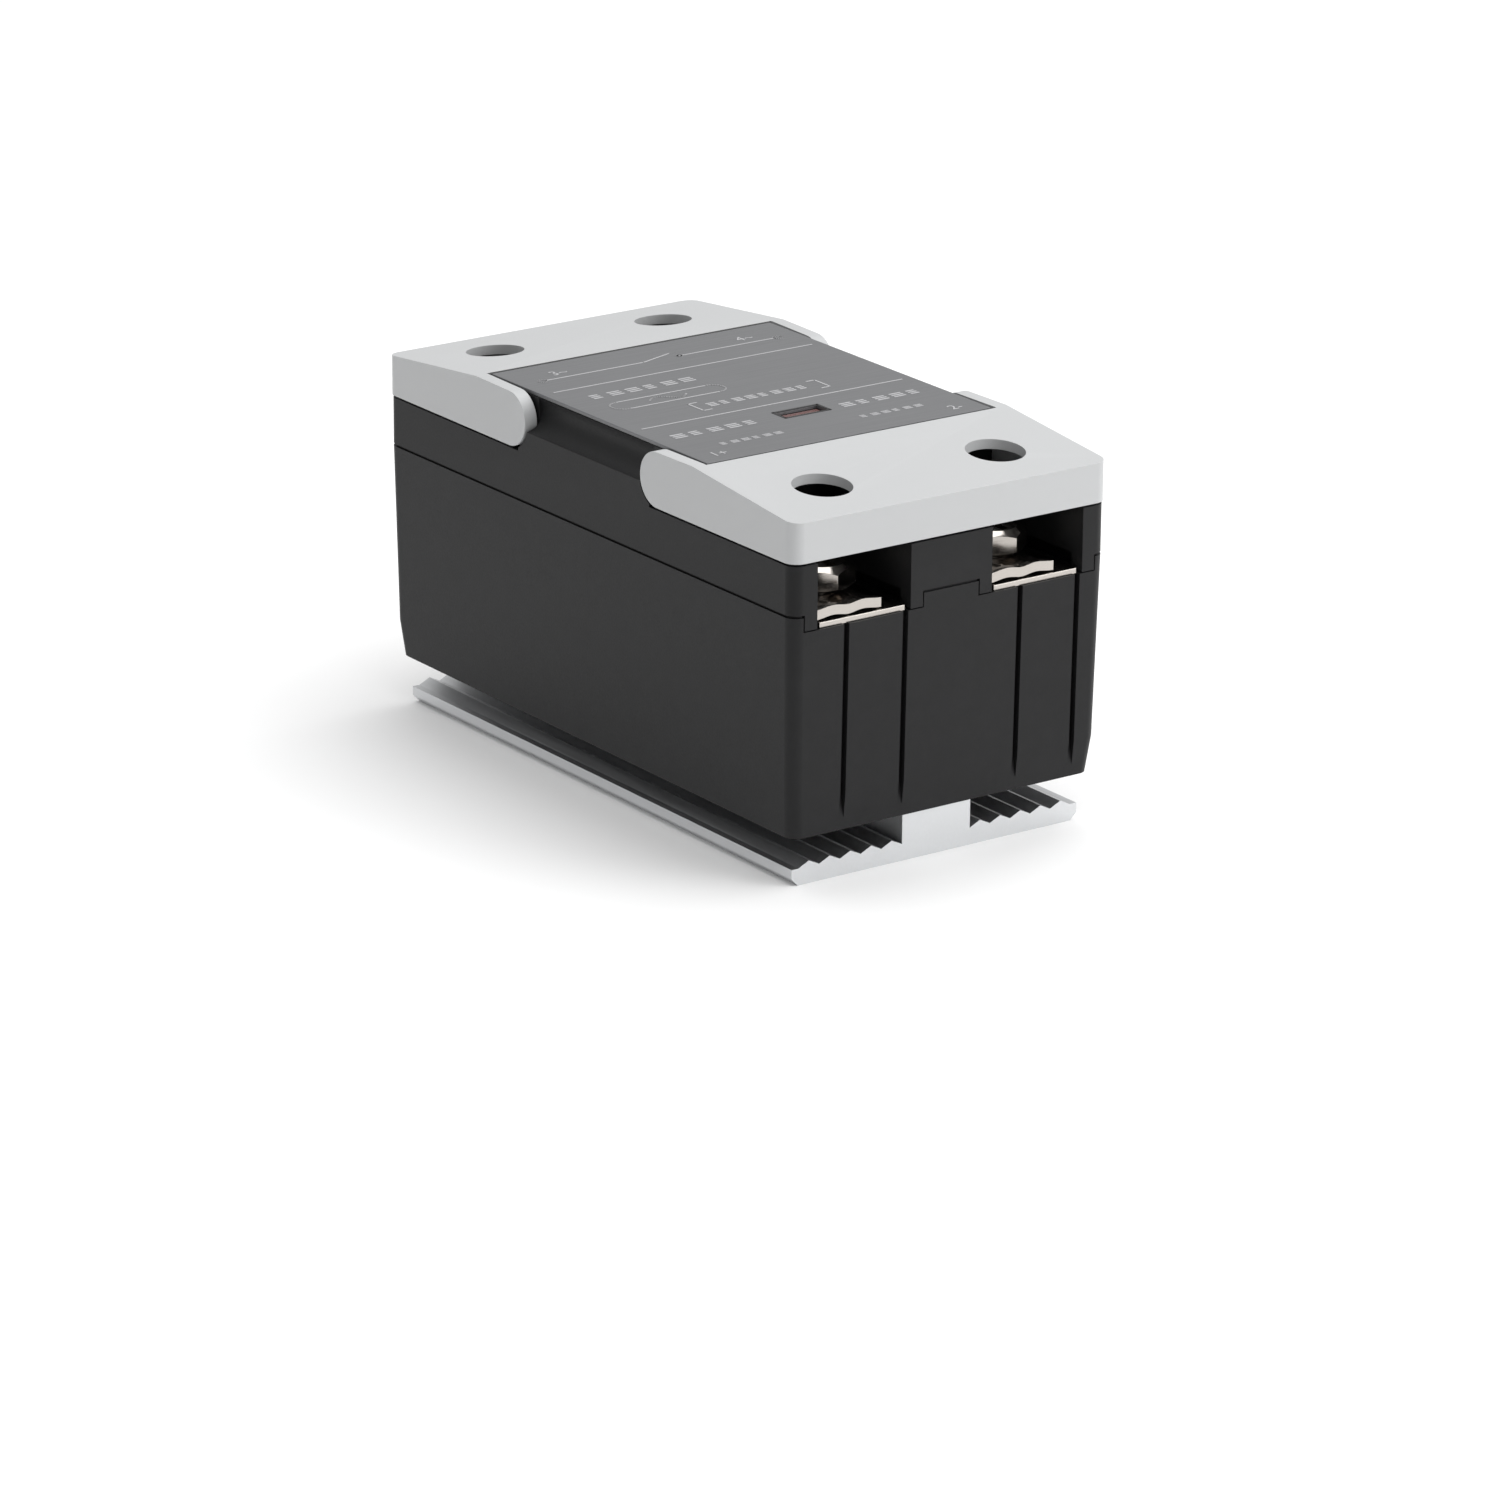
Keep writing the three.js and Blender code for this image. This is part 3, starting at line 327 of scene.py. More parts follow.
def drawn_lines():
    """Long fine streaks, as an extrusion die or a polishing belt leaves."""

    def build(tree, given, out):
        place = tree.nodes.new("ShaderNodeTexCoord").outputs["Object"]
        stretch = node(tree, "ShaderNodeMapping")
        tree.links.new(place, stretch.inputs["Vector"])
        tree.links.new(given.outputs["Stretch"], stretch.inputs["Scale"])
        streaks = node(tree, "ShaderNodeTexNoise", Scale=1.0, Detail=3.0, Roughness=0.7)
        tree.links.new(stretch.outputs[0], streaks.inputs["Vector"])
        stains = node(tree, "ShaderNodeTexNoise", Scale=70.0, Detail=5.0, Roughness=0.6)
        tree.links.new(place, stains.inputs["Vector"])
        bump = node(tree, "ShaderNodeBump", Distance=BUMP_HEIGHT)
        tree.links.new(given.outputs["Depth"], bump.inputs["Strength"])
        tree.links.new(streaks.outputs[0], bump.inputs["Height"])
        tree.links.new(streaks.outputs[0], out.inputs["Streak"])
        tree.links.new(stains.outputs[0], out.inputs["Stain"])
        tree.links.new(bump.outputs[0], out.inputs["Normal"])

    return group_of(
        "Drawn lines",
        [("Stretch", "NodeSocketVector", (2600.0, 40.0, 2600.0)), ("Depth", "NodeSocketFloat", 0.25)],
        [("Streak", "NodeSocketFloat"), ("Stain", "NodeSocketFloat"), ("Normal", "NodeSocketVector")],
        build,
    )


# ------------------------------------------------------------------ finishes


class Finish:
    """A material being built: its tree, its Principled shader and a few short calls."""

    def __init__(self, name, **sockets):
        self.material = bpy.data.materials.new(name)
        self.material.use_nodes = True
        self.tree = self.material.node_tree
        self.shader = self.tree.nodes["Principled BSDF"]
        for key, value in sockets.items():
            self.shader.inputs[key.replace("_", " ")].default_value = value

    def group(self, tree, **values):
        made = self.tree.nodes.new("ShaderNodeGroup")
        made.node_tree = tree
        for key, value in values.items():
            made.inputs[key].default_value = value
        return made

    def link(self, output, socket):
        self.tree.links.new(output, self.shader.inputs[socket])

    def blend(self, factor, first, second):
        """A colour between two colours, each a triple or a socket."""
        mix = self.tree.nodes.new("ShaderNodeMix")
        mix.data_type = "RGBA"
        self.tree.links.new(factor, mix.inputs["Factor"])
        for socket, value in ((mix.inputs[6], first), (mix.inputs[7], second)):
            if isinstance(value, bpy.types.NodeSocket):
                self.tree.links.new(value, socket)
            else:
                socket.default_value = (*value, 1)
        return mix.outputs[2]

    def spread(self, value, low, high):
        """A 0 to 1 value stretched onto another range."""
        ranged = self.tree.nodes.new("ShaderNodeMapRange")
        self.tree.links.new(value, ranged.inputs["Value"])
        ranged.inputs["From Min"].default_value = 0.25
        ranged.inputs["From Max"].default_value = 0.75
        ranged.inputs["To Min"].default_value = low
        ranged.inputs["To Max"].default_value = high
        return ranged.outputs["Result"]


def shade(rgb, factor):
    return tuple(min(1.0, c * factor) for c in rgb)


def moulded(name, rgb, rough, grain=5200.0, depth=0.2, mottle=0.05, wear=1.6, specular=0.5):
    """A moulded plastic: grain, slow mottling and slightly rubbed edges."""
    look = Finish(name, Specular_IOR_Level=specular)
    texture = look.group(moulded_grain(), Grain=grain, Depth=depth)
    body = look.blend(texture.outputs["Mottle"], shade(rgb, 1 - mottle), shade(rgb, 1 + mottle))
    rubbed = look.group(edge_wear())
    look.link(look.blend(rubbed.outputs["Wear"], body, shade(rgb, wear)), "Base Color")
    look.link(look.spread(texture.outputs["Speck"], rough - 0.05, rough + 0.05), "Roughness")
    look.link(texture.outputs["Normal"], "Normal")
    return look.material


def drawn_metal(name, rgb, rough, stretch, depth=0.25, stain=0.12, **sockets):
    """A bare or plated metal with streaks along one direction and faint staining."""
    look = Finish(name, Metallic=1.0, **sockets)
    lines = look.group(drawn_lines(), Stretch=stretch, Depth=depth)
    streaked = look.blend(lines.outputs["Streak"], shade(rgb, 1 - stain), shade(rgb, 1 + stain))
    stained = look.blend(lines.outputs["Stain"], streaked, rgb)
    look.link(stained, "Base Color")
    look.link(look.spread(lines.outputs["Streak"], rough - 0.07, rough + 0.09), "Roughness")
    look.link(lines.outputs["Normal"], "Normal")
    return look.material


def satin_label(name, rgb):
    """Satin anodised sheet: very fine lines across it and a soft mottling."""
    look = Finish(name, Metallic=0.35)
    lines = look.group(drawn_lines(), Stretch=(60.0, 5200.0, 60.0), Depth=0.12)
    look.link(look.blend(lines.outputs["Stain"], shade(rgb, 0.92), shade(rgb, 1.08)), "Base Color")
    look.link(look.spread(lines.outputs["Streak"], 0.34, 0.46), "Roughness")
    look.link(lines.outputs["Normal"], "Normal")
    return look.material


def print_ink(name, rgb):
    look = Finish(name)
    texture = look.group(moulded_grain(), Grain=9000.0, Depth=0.1)
    look.link(look.blend(texture.outputs["Mottle"], shade(rgb, 0.8), shade(rgb, 1.15)), "Base Color")
    look.link(look.spread(texture.outputs["Speck"], 0.45, 0.6), "Roughness")
    return look.material


def light_pipe(name, rgb):
    """Clear tinted plastic, slightly frosted on its face."""
    look = Finish(name, IOR=1.58, Transmission_Weight=0.55)
    texture = look.group(moulded_grain(), Grain=2600.0, Depth=0.15)
    look.link(look.blend(texture.outputs["Mottle"], shade(rgb, 0.93), shade(rgb, 1.05)), "Base Color")
    look.link(look.spread(texture.outputs["Speck"], 0.16, 0.3), "Roughness")
    look.link(texture.outputs["Normal"], "Normal")
    return look.material


def lacquered(name, rgb, rough=0.3, bands=(), axis="X", start=0.0, pitch=0.001):
    """A dipped or moulded component body, with printed colour bands across it."""
    look = Finish(name, Coat_Weight=0.3, Coat_Roughness=0.15)
    texture = look.group(moulded_grain(), Grain=3200.0, Depth=0.12)
    paint = look.blend(texture.outputs["Mottle"], shade(rgb, 0.92), shade(rgb, 1.08))
    if bands:
        place = look.tree.nodes.new("ShaderNodeTexCoord").outputs["Object"]
        split = look.tree.nodes.new("ShaderNodeSeparateXYZ")
        look.tree.links.new(place, split.inputs[0])
        for i, band in enumerate(bands):
            offset = math_node(look.tree, "SUBTRACT", split.outputs[axis], start + i * pitch)
            near = math_node(look.tree, "ABSOLUTE", offset)
            mask = math_node(look.tree, "LESS_THAN", near, pitch * 0.28)
            paint = look.blend(mask, paint, band)
    look.link(paint, "Base Color")
    look.link(look.spread(texture.outputs["Speck"], rough - 0.05, rough + 0.08), "Roughness")
    look.link(texture.outputs["Normal"], "Normal")
    return look.material


def solder_mask(name):
    """Green board lacquer over tracks that show as lighter lines."""
    look = Finish(name, Coat_Weight=0.4, Coat_Roughness=0.12)
    place = look.tree.nodes.new("ShaderNodeTexCoord").outputs["Object"]
    tracks = node(look.tree, "ShaderNodeTexBrick", Scale=260.0, Mortar_Size=0.09, Bias=0.0)
    tracks.offset = 0.37
    tracks.squash = 1.8
    look.tree.links.new(place, tracks.inputs["Vector"])
    texture = look.group(moulded_grain(), Grain=4200.0, Depth=0.15)
    mask = look.blend(texture.outputs["Mottle"], (0.012, 0.10, 0.045), (0.018, 0.13, 0.06))
    look.link(look.blend(tracks.outputs["Fac"], mask, (0.035, 0.20, 0.09)), "Base Color")
    look.link(look.spread(texture.outputs["Speck"], 0.28, 0.42), "Roughness")
    look.link(texture.outputs["Normal"], "Normal")
    return look.material


# ------------------------------------------------------------------ operators


class RelayOperator:
    """What every builder shares: its settings, and a call to its build."""

    bl_options = {"REGISTER", "UNDO"}

    @property
    def shape(self):
        return bpy.context.scene.relay_shape

    @property
    def colours(self):
        return bpy.context.scene.relay_finish

    def execute(self, context):
        self.build(context)
        return {"FINISHED"}


class RELAY_OT_housings(RelayOperator, bpy.types.Operator):
    """Mould the two black housing halves"""

    bl_idname = "relay.housings"
    bl_label = "Housings"

    def build(self, context):
        black = moulded(
            "black glass-filled moulding", self.colours.black, 0.46, grain=4200.0, depth=0.35,
            specular=0.2,
        )
        for half in ("lower", "upper"):
            rounded_copy(
                f"{half}_housing", f"{half}_housing_shell", "housing", black,
                self.shape.rim_round,
            )


class RELAY_OT_covers(RelayOperator, bpy.types.Operator):
    """Mould the two flip-up terminal covers"""

    bl_idname = "relay.covers"
    bl_label = "Terminal covers"

    corner = 1.8 * MM
    touch = 0.02 * MM
    hole_start = 25 * MM
    rim_height = 3 * MM
    outline_angle = 25
    edge_angle = 32

    def build(self, context):
        grey = moulded(
            "light grey moulding", self.colours.grey, 0.42, depth=0.16, mottle=0.015, wear=1.04,
        )
        for end in ENDS:
            bm = copy_of(f"{end}_cover")
            low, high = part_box(f"{end}_cover")
            edges = sharp_edges(bm, self.outline_angle)
            outline = [e for e in edges if self.is_outline(e, low, high)]
            round_off(bm, outline, self.shape.cover_fillet, 5)
            edges = sharp_edges(bm, self.edge_angle)
            rims = [e for e in edges if self.is_hole_rim(e, low, high)]
            round_off(bm, rims, self.shape.hole_round, 4)
            round_off(bm, sharp_edges(bm, self.edge_angle), self.shape.rim_round, 2)
            finish_piece(
                bm, f"{end}_cover_shell", f"{end}_cover", grey, [f"{end}_cover"],
            )

    def is_outline(self, edge, low, high):
        """Whether an edge runs round the cover's outside, above its bottom rim."""
        skins = [self.is_skin(face, low, high) for face in edge.link_faces]
        if sum(skins) != 1:
            return False
        other = edge.link_faces[skins.index(False)]
        return other.normal.z > -0.97

    def is_hole_rim(self, edge, low, high):
        """Whether an edge is the top rim of a screwdriver hole."""
        walls = [face for face in edge.link_faces if abs(face.normal.z) < 0.2]
        tops = [face for face in edge.link_faces if face.normal.z > 0.8]
        if not walls or not tops:
            return False
        middle = (edge.verts[0].co + edge.verts[1].co) / 2
        inside = high.x - abs(middle.x) > self.corner and middle.z > low.z + self.rim_height
        return inside and abs(middle.y) > self.hole_start

    def is_skin(self, face, low, high):
        """Whether a face is part of the cover's upright outer wall."""
        if abs(face.normal.z) > 0.05:
            return False
        centre = face.calc_center_median()
        outer_y = low.y if abs(low.y) > abs(high.y) else high.y
        beside = high.x - abs(centre.x)
        before = abs(outer_y) - abs(centre.y)
        if min(beside, before) < self.touch:
            return True
        outwards = face.normal.x * centre.x + face.normal.y * centre.y > 0
        return outwards and max(beside, before) < self.corner


class RELAY_OT_base(RelayOperator, bpy.types.Operator):
    """Extrude the ridged aluminium base and set its closing plate"""

    bl_idname = "relay.base"
    bl_label = "Aluminium base"

    def build(self, context):
        bare = drawn_metal(
            "bare extruded aluminium", self.colours.aluminium, 0.44, (2400.0, 30.0, 2400.0),
            depth=0.4,
        )
        dark = drawn_metal(
            "black anodised sheet", self.colours.anodised, 0.42, (60.0, 2600.0, 60.0), stain=0.2,
        )
        rounded_copy(
            "heat_sink_base", "heat_sink_extrusion", "housing", bare,
            self.shape.ridge_round, segments=3, angle=14,
        )
        rounded_copy(
            "closing_plate", "closing_plate_sheet", "housing", dark,
            self.shape.sheet_round,
        )


class RELAY_OT_terminals(RelayOperator, bpy.types.Operator):
    """Stamp the terminal tabs, saddle clamps and square nuts"""

    bl_idname = "relay.terminals"
    bl_label = "Terminals"

    def build(self, context):
        nickel = drawn_metal(
            "bright nickel plate", self.colours.nickel, 0.2, (900.0, 140.0, 900.0),
            depth=0.2, stain=0.08,
        )
        zinc = drawn_metal("zinc plate", self.colours.zinc, 0.32, (700.0, 700.0, 120.0))
        rim = self.shape.sheet_round
        for corner in CORNERS:
            rounded_copy(
                f"terminal_tab_{corner}", f"tab_{corner}", "housing", nickel, rim,
            )
            rounded_copy(
                f"saddle_clamp_{corner}", f"clamp_plate_{corner}", f"clamp_{corner}", nickel,
                3.2 * rim, segments=3, angle=40,
            )
            rounded_copy(
                f"terminal_nut_{corner}", f"nut_{corner}", "housing", zinc, 2 * rim,
            )


class RELAY_OT_screws(RelayOperator, bpy.types.Operator):
    """Turn the hexagon terminal screws, with their threads"""

    bl_idname = "relay.screws"
    bl_label = "Terminal screws"

    steps = 40
    plain_shank = 2.2 * MM
    end_chamfer = 0.7 * MM
    tip_height = 0.1 * MM
    cutter_margin = 0.2 * MM
    seat_slack = 0.01 * MM
    groove_share = 0.45

    def build(self, context):
        nickel = drawn_metal(
            "turned nickel plate", self.colours.nickel, 0.17, (500.0, 500.0, 1500.0),
            depth=0.12, stain=0.06,
        )
        for corner in CORNERS:
            low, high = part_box(f"terminal_screw_{corner}")
            centre = self.axis(f"terminal_screw_{corner}")
            bm = copy_of(f"terminal_screw_{corner}")
            seat = high.z - self.shape.screw_head_height
            above = seat - self.seat_slack
            head = [e for e in sharp_edges(bm, 20) if min(v.co.z for v in e.verts) > above]
            round_off(bm, head, self.shape.screw_round, 3)
            carve(bm, self.grooves(centre, low.z + self.end_chamfer, seat - self.plain_shank))
            finish_piece(
                bm, f"hex_screw_{corner}", f"screw_{corner}", nickel,
                [f"terminal_screw_{corner}"],
            )

    def axis(self, name):
        """Where a screw's upright axis stands: the middle of its shank's tip."""
        verts = [v.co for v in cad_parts[name].data.vertices]
        floor = min(v.z for v in verts)
        tip = [v for v in verts if v.z < floor + self.tip_height]
        return (
            (min(v.x for v in tip) + max(v.x for v in tip)) / 2,
            (min(v.y for v in tip) + max(v.y for v in tip)) / 2,
        )

    def grooves(self, centre, start, end):
        """Rings of triangular section, a pitch apart, that cut the thread."""
        bm = bmesh.new()
        outer = self.shape.screw_shank_radius + self.cutter_margin
        root = self.shape.screw_shank_radius - self.shape.screw_thread_depth
        half = self.groove_share * self.shape.screw_pitch
        for i in range(int((end - start) / self.shape.screw_pitch)):
            z = start + (i + 0.5) * self.shape.screw_pitch
            section = [(outer, z - half), (root, z), (outer, z + half)]
            spin_profile(bm, section, centre, self.steps, closed=True)
        return bm


class RELAY_OT_label(RelayOperator, bpy.types.Operator):
    """Lay the label plate and its generic print"""

    bl_idname = "relay.label"
    bl_label = "Label"

    window_margin = 0.3 * MM
    window_line = 0.34 * MM
    mark_height = 2.2 * MM

    def build(self, context):
        low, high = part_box("label_plate")
        self.top = high.z - self.shape.ink_thickness
        satin = satin_label("satin label sheet", self.colours.label)
        bm = copy_of("label_plate")
        for vert in bm.verts:
            vert.co.z = min(vert.co.z, self.top)
        round_off(bm, sharp_edges(bm, 60), self.shape.sheet_round, 2)
        finish_piece(bm, "label_sheet", "housing", satin, ["label_plate"])

        self.half_x = (high.x - low.x) / 2
        self.half_y = (high.y - low.y) / 2
        ink = print_ink("pale print", self.colours.ink)
        bm = bmesh.new()
        self.draw_dividers(bm)
        self.draw_load_symbol(bm)
        self.draw_frames(bm)
        self.draw_wave(bm, (-8.6 * MM, 2.4 * MM))
        self.draw_text_rows(bm)
        self.draw_marks(bm)
        finish_piece(bm, "label_print", "housing", ink)
        black = print_ink("dark print", self.colours.black)
        bm = bmesh.new()
        self.draw_window(bm)
        finish_piece(bm, "window_frame", "housing", black)

    def draw_window(self, bm):
        """A dark frame round the indicator window."""
        low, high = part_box("led_light_pipe")
        edge = self.window_margin
        corners = [
            (low.x - edge, low.y - edge), (high.x + edge, low.y - edge),
            (high.x + edge, high.y + edge), (low.x - edge, high.y + edge),
        ]
        self.stroke(bm, corners, width=self.window_line, closed=True)

    def stroke(self, bm, points, width=None, closed=False):
        """A flat printed line of even width through the points."""
        width = width or self.shape.line_width
        following = points[1:] + points[:1] if closed else points[1:]
        for start, end in zip(points, following):
            start, end = Vector(start), Vector(end)
            along = end - start
            middle = (start + end) / 2
            turn = Matrix.Rotation(math.atan2(along.y, along.x), 4, "Z")
            size = Matrix.Diagonal((along.length + width * 0.6, width, self.shape.ink_thickness, 1))
            height = self.top + self.shape.ink_thickness / 2
            place = Matrix.Translation((*middle, height)) @ turn @ size
            bmesh.ops.create_cube(bm, size=1, matrix=place)

    def arc(self, centre, radius, first, last, count=14):
        angles = [first + (last - first) * i / count for i in range(count + 1)]
        return [(centre[0] + radius * math.cos(a), centre[1] + radius * math.sin(a)) for a in angles]

    def draw_dividers(self, bm):
        reach = self.half_x - 1.6 * MM
        for y in (11.4 * MM, -6.9 * MM):
            self.stroke(bm, [(-reach, y), (reach, y)])

    def draw_load_symbol(self, bm):
        """Two terminals joined through an open contact, near the rear edge."""
        y = 16.2 * MM
        gap = 2.6 * MM
        dot = 0.55 * MM
        for side in (-1, 1):
            far = side * (self.half_x - 3.2 * MM)
            self.stroke(bm, self.arc((far, y), dot, 0, 2 * math.pi), closed=True)
            self.stroke(bm, [(far - side * dot, y), (side * gap, y)])
        self.stroke(bm, [(-gap, y), (gap * 0.8, y + 1.5 * MM)])
        self.stroke(bm, self.arc((gap, y), 0.3 * MM, 0, 2 * math.pi), closed=True)

    def draw_frames(self, bm):
        """A rounded frame on the left and a squared one across the middle."""
        left, right, low, high = -16.6 * MM, -0.6 * MM, 0.9 * MM, 3.9 * MM
        radius = (high - low) / 2
        middle = (low + high) / 2
        pill = self.arc((right - radius, middle), radius, -math.pi / 2, math.pi / 2)
        pill += self.arc((left + radius, middle), radius, math.pi / 2, 1.5 * math.pi)
        self.stroke(bm, pill, closed=True)
        left, right, low, high = -8.4 * MM, 9.9 * MM, -4.6 * MM, -1.4 * MM
        hook = 1.2 * MM
        self.stroke(bm, [(left + hook, low), (left, low), (left, high), (left + hook, high)])
        self.stroke(bm, [(right - hook, low), (right, low), (right, high), (right - hook, high)])

    def draw_wave(self, bm, centre):
        """One cycle of a mains wave."""
        span, rise = 5.2 * MM, 0.85 * MM
        points = [
            (centre[0] + span * (i / 24 - 0.5), centre[1] + rise * math.sin(2 * math.pi * i / 24))
            for i in range(25)
        ]
        self.stroke(bm, points)

    def draw_text_rows(self, bm):
        """Rows of plain bars where a maker's wording would be."""
        # left, middle, width and height in millimetres, then the number of bars
        rows = [
            (-16.2, 7.2, 15.4, 2.0, 6), (-6.6, -3.0, 14.8, 1.7, 8),
            (-17.6, -11.6, 12.8, 1.9, 5), (-14.6, -16.9, 9.2, 1.1, 6),
            (6.3, -11.9, 12.2, 1.9, 5), (5.4, -16.9, 9.4, 1.1, 6),
        ]
        for x, y, width, height, count in rows:
            cell = width / count
            for i in range(count):
                bar = cell * (0.62 if (i * 7 + count) % 3 else 0.42)
                start = x + i * cell
                for part in (0.3, 0.0, -0.3):
                    level = (y + part * height) * MM
                    line = [(start * MM, level), ((start + bar) * MM, level)]
                    self.stroke(bm, line, 0.16 * height * MM)

    def draw_marks(self, bm):
        """Terminal numbers and polarity marks, which any such relay carries."""
        edge_x, edge_y = self.half_x - 3.4 * MM, self.half_y - 3.6 * MM
        marks = [
            ("1+", -edge_x, -edge_y - 1.2 * MM), ("2-", edge_x, -edge_y - 1.2 * MM),
            ("3~", -edge_x + 3.4 * MM, edge_y - 0.6 * MM),
            ("4~", edge_x - 3.4 * MM, edge_y - 0.6 * MM),
        ]
        for words, x, y in marks:
            letters = bpy.data.curves.new("mark", "FONT")
            letters.body = words
            letters.size = self.mark_height
            letters.extrude = self.shape.ink_thickness / 2
            letters.align_x = "CENTER"
            letters.align_y = "CENTER"
            holder = bpy.data.objects.new("mark", letters)
            bpy.context.scene.collection.objects.link(holder)
            graph = bpy.context.evaluated_depsgraph_get()
            flat = bpy.data.meshes.new_from_object(holder.evaluated_get(graph))
            flat.transform(Matrix.Translation((x, y, self.top + self.shape.ink_thickness / 2)))
            welded = bmesh.new()
            welded.from_mesh(flat)
            bmesh.ops.remove_doubles(welded, verts=welded.verts, dist=WELD)
            welded.to_mesh(flat)
            welded.free()
            bm.from_mesh(flat)
            bpy.data.objects.remove(holder)
            bpy.data.curves.remove(letters)
            bpy.data.meshes.remove(flat)


class RELAY_OT_lamp(RelayOperator, bpy.types.Operator):
    """Fit the light pipe and the indicator lamp under it"""

    bl_idname = "relay.lamp"
    bl_label = "Indicator"

    def build(self, context):
        pipe = light_pipe("tinted light pipe", self.colours.lamp)
        red = light_pipe("red lamp resin", (0.75, 0.06, 0.04))
        rounded_copy(
            "led_light_pipe", "light_pipe", "housing", pipe, self.shape.rim_round,
        )
        rounded_copy(
            "indicator_led", "lamp", "housing", red, self.shape.sheet_round, angle=50,
        )


class RELAY_OT_fasteners(RelayOperator, bpy.types.Operator):
    """Finish the housing and base screws"""

    bl_idname = "relay.fasteners"
    bl_label = "Fasteners"

    def build(self, context):
        zinc = drawn_metal("zinc plated steel", self.colours.zinc, 0.3, (600.0, 600.0, 1400.0))
        nodes = [f"housing_screw_{corner}" for corner in CORNERS]
        nodes += [f"base_screw_{end}" for end in ENDS]
        for name in nodes:
            rounded_copy(name, f"{name}_turned", "housing", zinc, self.shape.sheet_round)


class RELAY_OT_electronics(RelayOperator, bpy.types.Operator):
    """Finish the substrate, the board and what stands on it"""

    bl_idname = "relay.electronics"
    bl_label = "Electronics"

    band_pitch = 1.2 * MM

    def build(self, context):
        epoxy = moulded("black epoxy", (0.018, 0.018, 0.02), 0.4, grain=6000.0, depth=0.3)
        tile = moulded("alumina tile", (0.78, 0.77, 0.73), 0.5, grain=7000.0, depth=0.3, wear=1.02)
        tinned = drawn_metal("tinned copper wire", (0.74, 0.60, 0.46), 0.28, (900.0, 900.0, 90.0))
        plain = [
            ("ceramic_substrate", tile, "ceramic_tile"), ("thyristor_left", epoxy, "black_epoxy"),
            ("thyristor_right", epoxy, "black_epoxy"), ("optocoupler", epoxy, "black_epoxy"),
            ("driver_transistor", epoxy, "black_epoxy"),
            ("control_board", solder_mask("green board lacquer"), "board_green"),
            ("varistor", lacquered("blue dipped epoxy", (0.03, 0.13, 0.38)), "blue_epoxy"),
            ("snubber_capacitor", lacquered("yellow film case", (0.62, 0.42, 0.05)), "yellow_film"),
        ]
        plain += [(f"gate_pin_{i}", tinned, "tinned_pin") for i in range(1, 5)]
        for name, material, slot in plain:
            rounded_copy(name, f"{name}_body", "housing", material, 0.12 * MM)
        band_sets = [
            [(0.3, 0.02, 0.01), (0.02, 0.02, 0.02), (0.5, 0.12, 0.01), (0.5, 0.33, 0.04)],
            [(0.5, 0.12, 0.01), (0.5, 0.12, 0.01), (0.1, 0.03, 0.01), (0.5, 0.33, 0.04)],
            [(0.02, 0.06, 0.3), (0.12, 0.12, 0.12), (0.3, 0.02, 0.01), (0.5, 0.33, 0.04)],
        ]
        for i, bands in enumerate(band_sets, start=1):
            low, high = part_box(f"resistor_{i}")
            pitch = self.band_pitch
            enamel = lacquered(
                f"tan enamel {i}", (0.60, 0.46, 0.27), bands=bands,
                start=(low.x + high.x) / 2 - 1.5 * pitch, pitch=pitch,
            )
            rounded_copy(
                f"resistor_{i}", f"resistor_{i}_body", "housing", enamel, 0.2 * MM,
                angle=50,
            )


